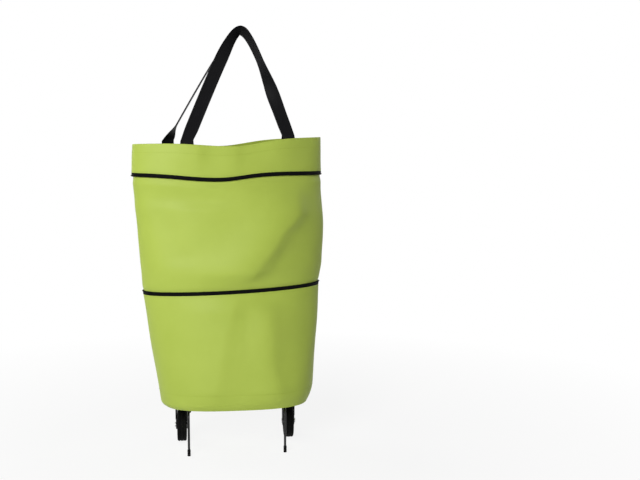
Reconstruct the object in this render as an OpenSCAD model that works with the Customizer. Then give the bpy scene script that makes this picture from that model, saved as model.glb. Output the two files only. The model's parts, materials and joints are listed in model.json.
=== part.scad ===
// Fold-up wheeled shopping bag: a soft two-section bag on folding legs with wheels, with two webbing handles.
// Millimetres. Z is up, X runs along the bag, the front faces -Y, and the wheels and feet stand on Z = 0.

/* [Bag heights] */
// Height of the bag's underside above the floor
base_z = 106; // [100:1:120]
// Height of the lower zip's middle line above the underside
lower_zip_rise = 244; // [220:1:270]
// Height of the upper zip's middle line above the lower zip's
upper_zip_rise = 240; // [200:1:260]
// Height of the rim above the upper zip's middle line
rim_rise = 69; // [60:1:80]

/* [Bag outline] */
// Full width of the bag just above its base
base_w = 316; // [290:1:330]
// Full depth of the bag just above its base
base_d = 208; // [200:1:230]
// Squareness of the base's outline: 2 is an oval, and more is nearer to a rectangle
base_square = 2.8; // [2:0.1:3.6]
// Full width at the lower zip
lower_zip_w = 377; // [350:1:390]
// Full depth at the lower zip
lower_zip_d = 168; // [150:1:190]
// Full width at the upper zip
upper_zip_w = 408; // [390:1:420]
// Full depth at the upper zip
upper_zip_d = 140; // [120:1:160]
// Full width at the rim
rim_w = 402; // [390:1:420]
// Full depth at the rim
rim_d = 120; // [110:1:140]
// How far the mouth hangs to the left of the base
lean = 10; // [0:1:25]
// Turn of the lower zip against the base, in degrees
lower_zip_turn = 9; // [0:1:12]
// Turn of the upper zip and the rim against the base, in degrees
mouth_turn = 13; // [0:1:16]
// Rise of the lower zip towards its right end
lower_zip_tilt = 4; // [0:0.5:6]
// Rise of the rim towards its right end
rim_tilt = 8; // [0:0.5:12]
// Sag of the upper zip in the middle of the front
upper_zip_dip = 11; // [0:0.5:14]
// Sag of the rim in the middle of the front
rim_dip = 12; // [0:0.5:14]
// Depth of the sag in the rear rim
rear_rim_dip = 11; // [0:1:16]
// Height of the rounded bottom edge at the left
corner_left = 9; // [6:1:20]
// Height of the rounded bottom edge at the right
corner_right = 30; // [10:1:40]
// How far the rounded bottom edge turns in
corner_in = 7; // [4:0.5:10]

/* [Fabric and zip] */
// Thickness of the coated fabric with its lining
wall = 1.6; // [1.2:0.1:2.4]
// Height of each zip tape
tape_h = 8; // [6:0.5:10]
// Thickness of each zip tape
tape_t = 1.2; // [0.8:0.1:1.6]
// Width of the zip coil's cross-section
coil_w = 1.6; // [1.2:0.1:2]
// Length of the slider along the zip
slider_l = 12; // [9:0.5:15]
// Length of the slider's pull tab
pull_l = 24; // [18:1:32]
// Width of the pull tab
pull_w = 6; // [5:0.5:8]

/* [Handles] */
// Width of the webbing
webbing_w = 27; // [22:1:30]
// Thickness of the webbing
webbing_t = 1.8; // [1.4:0.1:2.4]
// Length of the webbing sewn inside the rim
tail_l = 48; // [35:1:55]
// Height of the front handle above the rim
front_handle_h = 220.5; // [200:0.5:260]
// Distance between the front handle's legs
front_handle_span = 214; // [180:1:230]
// Shift of the front handle along the rim
front_handle_shift = 8; // [-10:1:10]
// Height of the rear handle above the rim
rear_handle_h = 217; // [200:1:250]
// Distance between the rear handle's legs
rear_handle_span = 260; // [220:1:270]
// Shift of the rear handle along the rim
rear_handle_shift = 11; // [-10:1:14]
// Distance of the front handle's top to the right of the middle of the base
front_top_x = 15.5; // [0:0.5:25]
// Distance of the rear handle's top to the right of the middle of the base
rear_top_x = 13; // [0:0.5:30]

/* [Base] */
// Thickness of the bottom fabric
panel_t = 1.6; // [1.2:0.1:2.4]
// Thickness of the stiffening board
board_t = 4; // [3:0.5:6]
// Diameter of the rivets
rivet_d = 4; // [3:0.5:5]

/* [Legs and wheels] */
// Distance from the middle of the base to each leg's pivot
pivot_x = 101; // [96:1:106]
// Distance of the pivots below the bag's underside
pivot_drop = 14; // [12:0.5:18]
// Diameter of the leg wire
wire_d = 5; // [4:0.5:6]
// Distance of the wire feet in front of the middle of the base
foot_y = 52; // [42:1:56]
// Distance of the wheels behind the middle of the base
wheel_y = 58; // [44:1:60]
// Diameter of the wheels
wheel_d = 72; // [64:1:76]
// Width of the wheels
wheel_w = 20; // [14:0.5:24]
// Distance from a leg's pivot to the middle of its wheel
wheel_offset = 16.5; // [14:0.5:18]
// Thickness of the fork's arms
arm_t = 2.4; // [2:0.1:3]
// Diameter of the axle
axle_d = 6; // [5:0.5:7]
// Thickness of the tyre
tyre_t = 8; // [6:0.5:10]

/* [Hidden] */
$fn = 48;
sides = 64;
lower_zip_z = base_z + lower_zip_rise;
upper_zip_z = lower_zip_z + upper_zip_rise;
rim_z = upper_zip_z + rim_rise;
pivot_z = base_z - pivot_drop;

// Clearances: between sewn pieces, of a bore on a fixed pin, of a running bore, between moving pieces
seam_gap = 0.3;
seat_gap = 0.02;
running_gap = 0.05;
moving_gap = 0.3;

// Values along the height: at the base, the lower zip, the upper zip and the rim
function along(z, base, lower, upper, rim) =
    lookup(z, [[base_z, base], [lower_zip_z, lower], [upper_zip_z, upper], [rim_z, rim]]);
function half_w(z) = along(z, base_w, lower_zip_w, upper_zip_w, rim_w) / 2;
function half_d(z) = along(z, base_d, lower_zip_d, upper_zip_d, rim_d) / 2;
function middle_x(z) = along(z, lean, lean / 2, 0, 0);
function turn(z) = along(z, 0, lower_zip_turn, mouth_turn, mouth_turn);
function tilt(z) = along(z, 0, lower_zip_tilt, 0, rim_tilt);
function front_dip(z) = along(z, 0, 0, upper_zip_dip, rim_dip);
function rear_dip(z) = along(z, 0, 0, 0, rear_rim_dip);

// The sag is a bell, left of the middle at the zip and in the middle at the rim, and it is longer on its
// left than on its right. Its place and reach are shares of the half width
zip_dip_at = -0.2;
rim_dip_at = 0;
dip_left = 0.5;
dip_right = 0.35;
function bell(a, z) =
    let (from = cos(a) - along(z, zip_dip_at, zip_dip_at, zip_dip_at, rim_dip_at))
    exp(-pow(from / (from < 0 ? dip_left : dip_right), 2));
function rise(a, z) = tilt(z) * cos(a) - (sin(a) < 0 ? front_dip(z) : rear_dip(z)) * bell(a, z);

// The outline is an oval from the lower zip up, and squarer towards the base
function outline_power(z) = 2 / along(z, base_square, 2, 2, 2);
function squared(v, power) = sign(v) * pow(abs(v), power);

// A point of the bag's wall at angle a round it, at height z, set in from the outside
function wall_point(a, z, inset) =
    let (power = outline_power(z),
        x = (half_w(z) - inset) * squared(cos(a), power),
        y = (half_d(z) - inset) * squared(sin(a), power),
        t = turn(z))
    [middle_x(z) + x * cos(t) - y * sin(t), x * sin(t) + y * cos(t), z + rise(a, z)];
function angles() = [for (i = [0 : sides - 1]) 360 * i / sides];
function ring(z, inset) = [for (a = angles()) wall_point(a, z, inset)];
function corner_h(a) = corner_left + (corner_right - corner_left) * (1 + cos(a)) / 2;
function corner_ring(t, inset) =
    [for (a = angles()) wall_point(a, base_z + corner_h(a) * t, inset + corner_in * pow(1 - t, 2))];
function lifted(points, dz) = [for (p = points) p + [0, 0, dz]];
function flat(points) = [for (p = points) [p.x, p.y]];
function unit(v) = v / norm(v);
function mix(a, b, t) = a + (b - a) * t;
function smooth(t) = let (c = min(1, max(0, t))) c * c * (3 - 2 * c);

// A closed band: rings of points joined in order, and the last to the first
module ring_solid(rings) {
    count = len(rings);
    n = len(rings[0]);
    faces = [for (r = [0 : count - 1], i = [0 : n - 1], half = [0, 1])
        let (s = (r + 1) % count, j = (i + 1) % n)
        half == 0 ? [r * n + i, s * n + i, s * n + j] : [r * n + i, s * n + j, r * n + j]];
    polyhedron([for (points = rings) each points], faces);
}

// A wall as a closed sheet of the given thickness. A level is a height and a lift: a free level has no lift,
// and the edge beside a zip is the zip's own line, lifted
function level_ring(level, inset) = lifted(ring(level[0], inset), level[1]);
function free_levels(heights) = [for (z = heights) [z, 0]];
module wall_solid(levels, thick) {
    last = len(levels) - 1;
    outer = [for (level = levels) level_ring(level, 0)];
    inner = [for (k = [last : -1 : 0]) level_ring(levels[k], thick)];
    ring_solid(concat(outer, inner));
}
function steps(low, high, count) = [for (k = [0 : count]) mix(low, high, k / count)];

// A sheet swept through sections, closed at both ends. Corners i and n - 1 - i of a section face each other
module strip_solid(sections) {
    last = len(sections) - 1;
    n = len(sections[0]);
    mantle = [for (k = [0 : last - 1], i = [0 : n - 1], half = [0, 1])
        let (j = (i + 1) % n, p = k * n, q = p + n)
        half == 0 ? [p + i, q + i, q + j] : [p + i, q + j, p + j]];
    start_cap = [for (i = [0 : n / 2 - 2], half = [0, 1])
        half == 0 ? [i, i + 1, n - 2 - i] : [i, n - 2 - i, n - 1 - i]];
    end_cap = [for (f = start_cap) [f[2], f[1], f[0]] + last * n * [1, 1, 1]];
    polyhedron([for (section = sections) each section], concat(mantle, start_cap, end_cap));
}

// Fabric walls
corner_steps = [0, 0.35, 0.7, 1];
beside_zip = tape_h / 2 + seam_gap;
edge_l = 12;
lower_wall_start = base_z + max(corner_left, corner_right) + edge_l;
module lower_body() {
    levels = concat(free_levels(steps(lower_wall_start, lower_zip_z - beside_zip - edge_l, 4)),
        [[lower_zip_z, -beside_zip]]);
    last = len(levels) - 1;
    outer = concat([for (t = corner_steps) corner_ring(t, 0)], [for (level = levels) level_ring(level, 0)]);
    inner = concat([for (k = [last : -1 : 0]) level_ring(levels[k], wall)],
        [for (k = [len(corner_steps) - 1 : -1 : 0]) corner_ring(corner_steps[k], wall)]);
    color("yellowgreen") ring_solid(concat(outer, inner));
}

module expansion_section() {
    low = lower_zip_z + beside_zip + edge_l;
    high = upper_zip_z - beside_zip - edge_l;
    levels = concat([[lower_zip_z, beside_zip]], free_levels(steps(low, high, 4)),
        [[upper_zip_z, -beside_zip]]);
    color("yellowgreen") wall_solid(levels, wall);
}

module top_band() {
    low = upper_zip_z + beside_zip + edge_l;
    levels = concat([[upper_zip_z, beside_zip]], free_levels(steps(low, rim_z, 3)));
    color("yellowgreen") wall_solid(levels, wall);
}

// Zip tapes and coils: each tape takes the shape of its own middle line
module zip_tape(z) {
    middle = ring(z, 0);
    inner = ring(z, tape_t);
    color("black")
        ring_solid([lifted(middle, -tape_h / 2), lifted(middle, tape_h / 2),
            lifted(inner, tape_h / 2), lifted(inner, -tape_h / 2)]);
}
module lower_zip_tape() { zip_tape(lower_zip_z); }
module upper_zip_tape() { zip_tape(upper_zip_z); }

coil_lift = tape_h / 2 - coil_w;
coil_gap = 0.1;
module zip_coil(z, lift) {
    inner = lifted(ring(z, -coil_gap), lift);
    outer = lifted(ring(z, -coil_gap - coil_w), lift);
    half = coil_w / 2;
    color("dimgray")
        ring_solid([lifted(outer, -half), lifted(outer, half), lifted(inner, half), lifted(inner, -half)]);
}
module lower_zip_coil() { zip_coil(lower_zip_z, coil_lift); }
module upper_zip_coil() { zip_coil(upper_zip_z, -coil_lift); }

// Zip hardware at the middle of the back. Local X runs along the zip, local Y out of the bag
module at_zip(z, a, lift) {
    p = wall_point(a, z, 0);
    tangent = wall_point(a - 1, z, 0) - wall_point(a + 1, z, 0);
    translate(p + [0, 0, lift])
        rotate([0, 0, atan2(tangent.y, tangent.x)])
            rotate([0, -atan2(tangent.z, norm([tangent.x, tangent.y])), 0])
                children();
}
slider_at = 90;
box_at = 76;
pin_at = 104;
slider_room = 0.6;
slider_wall = 1.2;
channel_w = coil_w + 2 * slider_room;
slider_h = channel_w + 2 * slider_wall;
slider_in = 0.4;
slider_out = coil_gap + coil_w + slider_room + slider_wall;
pull_pin_d = 2;
pull_t = 1.6;
pull_eye = pull_pin_d / 2 + running_gap + 1.4;
pull_y = slider_out + pull_eye + moving_gap;
lug_t = 1.4;
pull_play = 0.4;
module zip_slider() {
    lug_x = pull_w / 2 + pull_play;
    color("dimgray") at_zip(lower_zip_z, slider_at, coil_lift) {
        difference() {
            translate([-slider_l / 2, slider_in, -slider_h / 2])
                cube([slider_l, slider_out - slider_in, slider_h]);
            translate([-slider_l, slider_in - slider_room, -channel_w / 2])
                cube([2 * slider_l, slider_out - slider_wall - slider_in + slider_room, channel_w]);
        }
        for (side = [-1, 1])
            translate([side * (lug_x + lug_t / 2) - lug_t / 2, slider_out, -pull_eye])
                cube([lug_t, pull_y - slider_out + pull_eye, 2 * pull_eye]);
        translate([-lug_x - lug_t / 2, pull_y, 0])
            rotate([0, 90, 0]) cylinder(d = pull_pin_d, h = 2 * lug_x + lug_t);
    }
}
module zip_pull() {
    color("black") at_zip(lower_zip_z, slider_at, coil_lift)
        translate([0, pull_y, 0])
            difference() {
                union() {
                    translate([-pull_w / 2, 0, 0]) rotate([0, 90, 0]) cylinder(r = pull_eye, h = pull_w);
                    translate([-pull_w / 2, -pull_t / 2, -pull_l]) cube([pull_w, pull_t, pull_l]);
                    translate([0, pull_t / 2, -pull_l]) rotate([90, 0, 0]) cylinder(d = pull_w, h = pull_t);
                }
                translate([-pull_w, 0, 0])
                    rotate([0, 90, 0]) cylinder(r = pull_pin_d / 2 + running_gap, h = 2 * pull_w);
            }
}
zip_end_l = 9;
zip_end_t = 2.4;
module zip_end(z, a, lift, height) {
    color("black") at_zip(z, a, lift)
        translate([-zip_end_l / 2, coil_gap, -height / 2]) cube([zip_end_l, zip_end_t, height]);
}
zip_end_h = tape_h - 2 * coil_w - 2 * seam_gap;
module zip_box() { zip_end(lower_zip_z, box_at, -coil_w, zip_end_h); }
module zip_pin() { zip_end(upper_zip_z, pin_at, coil_w, zip_end_h / 2); }

// Handles. Each one's legs leave the inside of the rim at two angles round the mouth
tail_set = wall + seam_gap;
webbing_set = tail_set + webbing_t / 2;
hinge_lift = 7;
front_top_y = -(webbing_w / 2 + 1);
rear_top_y = webbing_w / 2 + 1;
function leg_angle(side, span, shift, face) =
    let (a = acos((shift + side * span / 2) / (rim_w / 2 - webbing_set))) face < 0 ? -a : a;
function leg_start(side, span, shift, face) =
    wall_point(leg_angle(side, span, shift, face), rim_z, webbing_set) + [0, 0, hinge_lift];

// A flat strip sewn inside the rim. It follows the wall over the webbing's width. Its top lies along the
// handle's hinge line and slopes down at 45 degrees to the side that the handle swings to
tail_columns = 4;
top_drop = (webbing_t / 2 + moving_gap) * sqrt(2);
module handle_tail(a, hinge, rim_way, face) {
    pace = norm(wall_point(a + 1, rim_z, webbing_set) - wall_point(a - 1, rim_z, webbing_set)) / 2;
    offsets = steps(-webbing_w / 2, webbing_w / 2, tail_columns);
    out = face * unit([-rim_way.y, rim_way.x, 0]);
    function wall_edge(z, inset) = [for (s = offsets) wall_point(a + s / pace, z, inset)];
    function hinge_edge(side) = [for (s = offsets)
        hinge - face * s * rim_way + side * out * webbing_t / 2 - [0, 0, top_drop + side * webbing_t / 2]];
    function reversed(points) = [for (k = [len(points) - 1 : -1 : 0]) points[k]];
    wall_rows = [for (z = steps(rim_z - tail_l, rim_z, 2))
        concat(wall_edge(z, tail_set), reversed(wall_edge(z, tail_set + webbing_t)))];
    strip_solid(concat(wall_rows, [concat(hinge_edge(1), reversed(hinge_edge(-1)))]));
}
module handle_tails(span, shift, face) {
    left = leg_start(-1, span, shift, face);
    right = leg_start(1, span, shift, face);
    color("black") for (side = [-1, 1])
        handle_tail(leg_angle(side, span, shift, face), side < 0 ? left : right, unit(right - left), face);
}
module front_handle_tails() { handle_tails(front_handle_span, front_handle_shift, -1); }
module rear_handle_tails() { handle_tails(rear_handle_span, rear_handle_shift, 1); }

// A handle loop: straight legs that meet in a rounded top. The webbing lies flat along the rim at the ends
// and twists towards the top. A leg's twist is its most degrees, and the shares of the height where it
// starts and ends, for the left leg and then the right
top_round = 62;
front_twist = [[41, 0.7, 1], [78, 0.18, 0.74]];
rear_twist = [[79, 0.08, 0.2], [80, 0.24, 0.7]];
top_blend = 0.25;
level_off = 0.15;
loop_rings = 64;
function leg_twist(f, leg) = leg[0] * smooth((f - leg[1]) / (leg[2] - leg[1]));
function loop_twist(v, f, twist) =
    mix(leg_twist(f, twist[0]), leg_twist(f, twist[1]), smooth((v + top_blend) / (2 * top_blend)));
function loop_reach(v) = sign(v) * pow(abs(v), 1.25);
function loop_h(reach, high) =
    let (steep = sqrt(pow(high + top_round, 2) - pow(top_round, 2)))
    high + top_round - sqrt(pow(steep * reach, 2) + pow(top_round, 2));
function loop_point(v, left, right, top, high) =
    let (reach = loop_reach(v), h = loop_h(reach, high), foot = (left + right) / 2)
    foot + (right - left) / 2 * reach + [top.x - foot.x, top.y - foot.y, 0] * h / high + [0, 0, h];
function loop_section(v, left, right, top, high, twist, past = 0) =
    let (step = 0.01,
        foot = (left + right) / 2,
        p = loop_point(v, left, right, top, high),
        along_loop = unit(loop_point(v + step, left, right, top, high)
            - loop_point(v - step, left, right, top, high)),
        rim_way = unit(right - left),
        facing = unit(cross(rim_way, [top.x - foot.x, top.y - foot.y, high])),
        f = loop_h(loop_reach(v), high) / high,
        leg_way = unit(mix(rim_way * sign(v), cross(along_loop, -facing), smooth(f / level_off))),
        angle = loop_twist(v, f, twist),
        wide = unit(leg_way * cos(angle) + facing * sin(angle)) * webbing_w / 2,
        thick = unit(cross(along_loop, wide)) * webbing_t / 2,
        end = p + unit(cross(wide, thick)) * sign(v) * past * webbing_t / 2,
        t = thick * sqrt(1 - past * past))
    [end - wide - t, end + wide - t, end + wide + t, end - wide + t];
// The loop's two ends are rounded about the hinge line
round_steps = [0.95, 0.8, 0.5];
module handle_loop(span, shift, face, top, high, twist) {
    left = leg_start(-1, span, shift, face);
    right = leg_start(1, span, shift, face);
    color("black")
        strip_solid(concat(
            [for (past = round_steps) loop_section(-1, left, right, top, high, twist, past)],
            [for (k = [0 : loop_rings])
                loop_section(2 * k / loop_rings - 1, left, right, top, high, twist)],
            [for (k = [2 : -1 : 0]) loop_section(1, left, right, top, high, twist, round_steps[k])]));
}
front_top = [lean + front_top_x, front_top_y];
rear_top = [lean + rear_top_x, rear_top_y];
module front_handle() {
    handle_loop(front_handle_span, front_handle_shift, -1, front_top, front_handle_h, front_twist);
}
module rear_handle() {
    handle_loop(rear_handle_span, rear_handle_shift, 1, rear_top, rear_handle_h, rear_twist);
}

// Base: a bottom panel sewn into the body, a board on it, and rivets that hold the pivot clips
panel_inset = corner_in + wall + seam_gap;
board_inset = panel_inset + 1.5;
board_z = base_z + panel_t;
washer_z = board_z + board_t;
washer_t = 1;
washer_d = 2.6 * rivet_d;
rivet_head_d = 2 * rivet_d;
rivet_head_h = 1.5;
flange_t = 3;
clip_l = 8;
clip_wall = 3;
clip_r = wire_d / 2 + running_gap + clip_wall;
rivet_in = clip_r + rivet_head_d / 2 + 2;
flange_end = rivet_in + rivet_head_d / 2 + 2;
fork_l = 24;
clip_gap = 2;
rear_clip_y = wheel_y - fork_l / 2 - clip_gap - clip_l / 2;
bend_r = 3 * wire_d;
front_clip_y = -foot_y + bend_r + clip_gap + clip_l / 2;
clip_ys = [rear_clip_y, (rear_clip_y + front_clip_y) / 2, front_clip_y];

// Places a leg's own parts: local X runs from the pivot towards the outside of the bag
module at_pivot(side) {
    translate([lean + side * pivot_x, 0, 0]) mirror([side < 0 ? 1 : 0, 0, 0]) children();
}
module at_rivets() {
    for (side = [-1, 1], y = clip_ys) at_pivot(side) translate([-rivet_in, y, 0]) children();
}
module rivet_holes() {
    at_rivets() cylinder(r = rivet_d / 2 + seat_gap, h = 2 * base_z);
}
module bottom_panel() {
    color("olivedrab") difference() {
        translate([0, 0, base_z])
            linear_extrude(panel_t) polygon(flat(ring(base_z, panel_inset)));
        rivet_holes();
    }
}
module base_board() {
    color("dimgray") difference() {
        translate([0, 0, board_z])
            linear_extrude(board_t) polygon(flat(ring(base_z, board_inset)));
        rivet_holes();
    }
}
module base_rivets() {
    low = base_z - flange_t;
    high = washer_z + washer_t;
    color("silver") at_rivets() {
        translate([0, 0, low - rivet_head_h]) cylinder(d = rivet_head_d, h = rivet_head_h);
        translate([0, 0, low]) cylinder(d = rivet_d, h = high - low);
        translate([0, 0, high]) cylinder(d = rivet_head_d, h = rivet_head_h);
    }
}
module rivet_washers() {
    color("silver") at_rivets() translate([0, 0, washer_z]) difference() {
        cylinder(d = washer_d, h = washer_t);
        translate([0, 0, -washer_t]) cylinder(r = rivet_d / 2 + seat_gap, h = 3 * washer_t);
    }
}

// A pivot clip: a block round the leg wire, with a flange riveted to the base towards its middle
module pivot_clips(side) {
    color("black") at_pivot(side) for (y = clip_ys)
        translate([0, y - clip_l / 2, 0]) difference() {
            union() {
                translate([-clip_r, 0, pivot_z]) cube([2 * clip_r, clip_l, base_z - pivot_z]);
                translate([0, clip_l, pivot_z]) rotate([90, 0, 0]) cylinder(r = clip_r, h = clip_l);
                translate([-flange_end, 0, base_z - flange_t]) cube([flange_end, clip_l, flange_t]);
            }
            translate([0, 2 * clip_l, pivot_z])
                rotate([90, 0, 0]) cylinder(r = wire_d / 2 + running_gap, h = 3 * clip_l);
            translate([-rivet_in, clip_l / 2, 0]) cylinder(r = rivet_d / 2 + seat_gap, h = 2 * base_z);
        }
}
module left_pivot_clips() { pivot_clips(-1); }
module right_pivot_clips() { pivot_clips(1); }

// The leg wire: its pivot length runs through the clips, bends down at the front and ends in a foot cap
wire_end_y = wheel_y + fork_l / 2 + 1;
cap_h = 14;
cap_d = wire_d + 1.8;
cap_floor = 3;
module leg_rod(side) {
    bend_y = bend_r - foot_y;
    bend_z = pivot_z - bend_r;
    color("black") at_pivot(side) {
        translate([0, wire_end_y, pivot_z]) rotate([90, 0, 0]) cylinder(d = wire_d, h = wire_end_y - bend_y);
        translate([0, bend_y, bend_z]) rotate([90, 0, -90])
            rotate_extrude(angle = 90) translate([bend_r, 0]) circle(d = wire_d);
        translate([0, -foot_y, cap_floor]) cylinder(d = wire_d, h = bend_z - cap_floor);
    }
}
module left_leg_rod() { leg_rod(-1); }
module right_leg_rod() { leg_rod(1); }
module foot_cap(side) {
    color("black") at_pivot(side) translate([0, -foot_y, 0]) difference() {
        cylinder(d = cap_d, h = cap_h);
        translate([0, 0, cap_floor]) cylinder(r = wire_d / 2 + seat_gap, h = cap_h);
    }
}
module left_foot_cap() { foot_cap(-1); }
module right_foot_cap() { foot_cap(1); }

// The fork is fixed on the wire. Its head bears on the base outside the pivot, which stops the leg when it
// stands, and its arms carry the axle
axle_z = wheel_d / 2;
side_gap = 0.8;
inner_arm_x = wheel_offset - wheel_w / 2 - side_gap - arm_t;
outer_arm_x = wheel_offset + wheel_w / 2 + side_gap;
head_x = outer_arm_x + arm_t + 3.5;
head_low = wheel_d + 8;
arm_r = axle_d / 2 + 7;
barrel_r = wire_d / 2 + 4;
module fork(side) {
    color("black") at_pivot(side) difference() {
        union() {
            translate([0, wheel_y - fork_l / 2, head_low])
                cube([head_x, fork_l, base_z - moving_gap - head_low]);
            translate([0, wheel_y + fork_l / 2, pivot_z])
                rotate([90, 0, 0]) cylinder(r = barrel_r, h = fork_l);
            for (x = [inner_arm_x, outer_arm_x]) {
                translate([x, wheel_y - arm_r, axle_z]) cube([arm_t, 2 * arm_r, head_low - axle_z]);
                translate([x, wheel_y, axle_z]) rotate([0, 90, 0]) cylinder(r = arm_r, h = arm_t);
            }
        }
        translate([0, wheel_y + fork_l, pivot_z])
            rotate([90, 0, 0]) cylinder(r = wire_d / 2 + seat_gap, h = 2 * fork_l);
        translate([-head_x, wheel_y, axle_z])
            rotate([0, 90, 0]) cylinder(r = axle_d / 2 + seat_gap, h = 3 * head_x);
    }
}
module left_fork() { fork(-1); }
module right_fork() { fork(1); }

// Wheel parts, turned about the axle
module at_axle(side, x) {
    at_pivot(side) translate([x, wheel_y, axle_z]) rotate([0, 90, 0]) children();
}
head_t = 1.6;
nut_t = 2.4;
axle_head_d = axle_d + 4;
axle_end = outer_arm_x + arm_t + nut_t;
module axle(side) {
    color("silver") {
        at_axle(side, inner_arm_x - head_t) cylinder(d = axle_head_d, h = head_t);
        at_axle(side, inner_arm_x) cylinder(d = axle_d, h = axle_end - inner_arm_x);
    }
}
module left_axle() { axle(-1); }
module right_axle() { axle(1); }
module axle_nut(side) {
    color("silver") at_axle(side, outer_arm_x + arm_t) difference() {
        cylinder(d = axle_head_d, h = nut_t);
        translate([0, 0, -nut_t]) cylinder(r = axle_d / 2 + seat_gap, h = 3 * nut_t);
    }
}
module left_axle_nut() { axle_nut(-1); }
module right_axle_nut() { axle_nut(1); }
spacer_t = side_gap - moving_gap;
spacer_r = axle_d / 2 + 3;
module wheel_washers(side) {
    color("silver") for (x = [inner_arm_x + arm_t, outer_arm_x - spacer_t])
        at_axle(side, x) difference() {
            cylinder(r = spacer_r, h = spacer_t);
            translate([0, 0, -spacer_t]) cylinder(r = axle_d / 2 + running_gap, h = 3 * spacer_t);
        }
}
module left_wheel_washers() { wheel_washers(-1); }
module right_wheel_washers() { wheel_washers(1); }

hub_r = wheel_d / 2 - tyre_t;
hub_bore_r = axle_d / 2 + running_gap;
hub_core_r = axle_d / 2 + 5;
hub_rim_t = 3;
hub_web_t = 4;
module hub(side) {
    half = wheel_w / 2;
    color("black") at_axle(side, wheel_offset) rotate_extrude() polygon([
        [hub_bore_r, -half], [hub_core_r, -half], [hub_core_r, -hub_web_t / 2],
        [hub_r - hub_rim_t, -hub_web_t / 2], [hub_r - hub_rim_t, 1 - half], [hub_r, 1 - half],
        [hub_r, half - 1], [hub_r - hub_rim_t, half - 1], [hub_r - hub_rim_t, hub_web_t / 2],
        [hub_core_r, hub_web_t / 2], [hub_core_r, half], [hub_bore_r, half]]);
}
module left_hub() { hub(-1); }
module right_hub() { hub(1); }
edge_r = (tyre_t - 1) / 2;
module tyre(side) {
    inner = hub_r + seat_gap;
    color("black") at_axle(side, wheel_offset) rotate_extrude() {
        translate([inner, edge_r - wheel_w / 2]) square([wheel_d / 2 - inner, wheel_w - 2 * edge_r]);
        translate([inner, -wheel_w / 2]) square([wheel_d / 2 - inner - edge_r, wheel_w]);
        for (y = [-1, 1]) translate([wheel_d / 2 - edge_r, y * (wheel_w / 2 - edge_r)]) circle(r = edge_r);
    }
}
module left_tyre() { tyre(-1); }
module right_tyre() { tyre(1); }

lower_body();
expansion_section();
top_band();
lower_zip_tape();
upper_zip_tape();
lower_zip_coil();
upper_zip_coil();
zip_slider();
zip_pull();
zip_box();
zip_pin();
front_handle_tails();
rear_handle_tails();
front_handle();
rear_handle();
bottom_panel();
base_board();
base_rivets();
rivet_washers();
left_pivot_clips();
right_pivot_clips();
left_leg_rod();
right_leg_rod();
left_foot_cap();
right_foot_cap();
left_fork();
right_fork();
left_axle();
right_axle();
left_axle_nut();
right_axle_nut();
left_wheel_washers();
right_wheel_washers();
left_hub();
right_hub();
left_tyre();
right_tyre();
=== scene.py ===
"""Dresses the fold-up wheeled shopping bag: fabric, zips, webbing, legs and wheels, with camera and light."""
import json
import logging
import math
from dataclasses import dataclass
from enum import Enum
from typing import Any, Callable, Iterable, Optional, Sequence, Union

import bmesh
import bpy
from mathutils import Matrix, Vector


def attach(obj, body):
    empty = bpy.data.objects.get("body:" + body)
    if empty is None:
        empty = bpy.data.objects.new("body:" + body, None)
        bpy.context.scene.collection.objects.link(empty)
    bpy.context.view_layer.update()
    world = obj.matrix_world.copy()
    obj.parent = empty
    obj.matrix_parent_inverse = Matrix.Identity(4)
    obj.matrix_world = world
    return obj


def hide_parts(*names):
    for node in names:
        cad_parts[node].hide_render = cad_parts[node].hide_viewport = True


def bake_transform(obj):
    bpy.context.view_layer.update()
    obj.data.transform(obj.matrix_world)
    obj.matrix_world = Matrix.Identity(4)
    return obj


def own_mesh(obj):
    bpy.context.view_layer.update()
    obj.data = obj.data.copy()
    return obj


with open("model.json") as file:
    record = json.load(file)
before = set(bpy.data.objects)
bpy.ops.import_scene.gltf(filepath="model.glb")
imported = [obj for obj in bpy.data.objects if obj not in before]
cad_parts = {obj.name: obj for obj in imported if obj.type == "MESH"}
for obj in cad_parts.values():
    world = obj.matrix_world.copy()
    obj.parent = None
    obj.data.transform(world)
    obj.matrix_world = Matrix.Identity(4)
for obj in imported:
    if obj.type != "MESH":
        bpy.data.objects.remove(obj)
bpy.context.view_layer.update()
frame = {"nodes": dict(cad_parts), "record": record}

MM = 0.001
TAU = 2 * math.pi
NEAR = 0.01
Number = Union[int, float]
Colour = tuple[float, float, float]
LOG = logging.getLogger("shopping_bag")


class Body(str, Enum):
    """The moving bodies of the bag."""

    BAG = "bag"
    TOP = "top"
    FRONT_STRAP = "front_strap"
    REAR_STRAP = "rear_strap"
    SLIDER = "slider"
    PULL = "pull"


class Side(Enum):
    """A leg unit's side, with the sign of its X direction."""

    LEFT = -1
    RIGHT = 1

    @property
    def word(self) -> str:
        """The side's name as node names spell it."""
        return self.name.lower()


class Face(Enum):
    """The bag's front or rear wall, with the sign of its Y direction."""

    FRONT = -1
    REAR = 1


def smooth(t: float) -> float:
    """Eases a share from 0 to 1, level at both ends."""
    c = min(1.0, max(0.0, t))
    return c * c * (3 - 2 * c)


def squared(v: float, power: float) -> float:
    """A power of a number that keeps its sign."""
    return math.copysign(abs(v) ** power, v)


def mix(a: Any, b: Any, t: float) -> Any:
    """The value that lies the share t of the way from a to b."""
    return a + (b - a) * t


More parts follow.
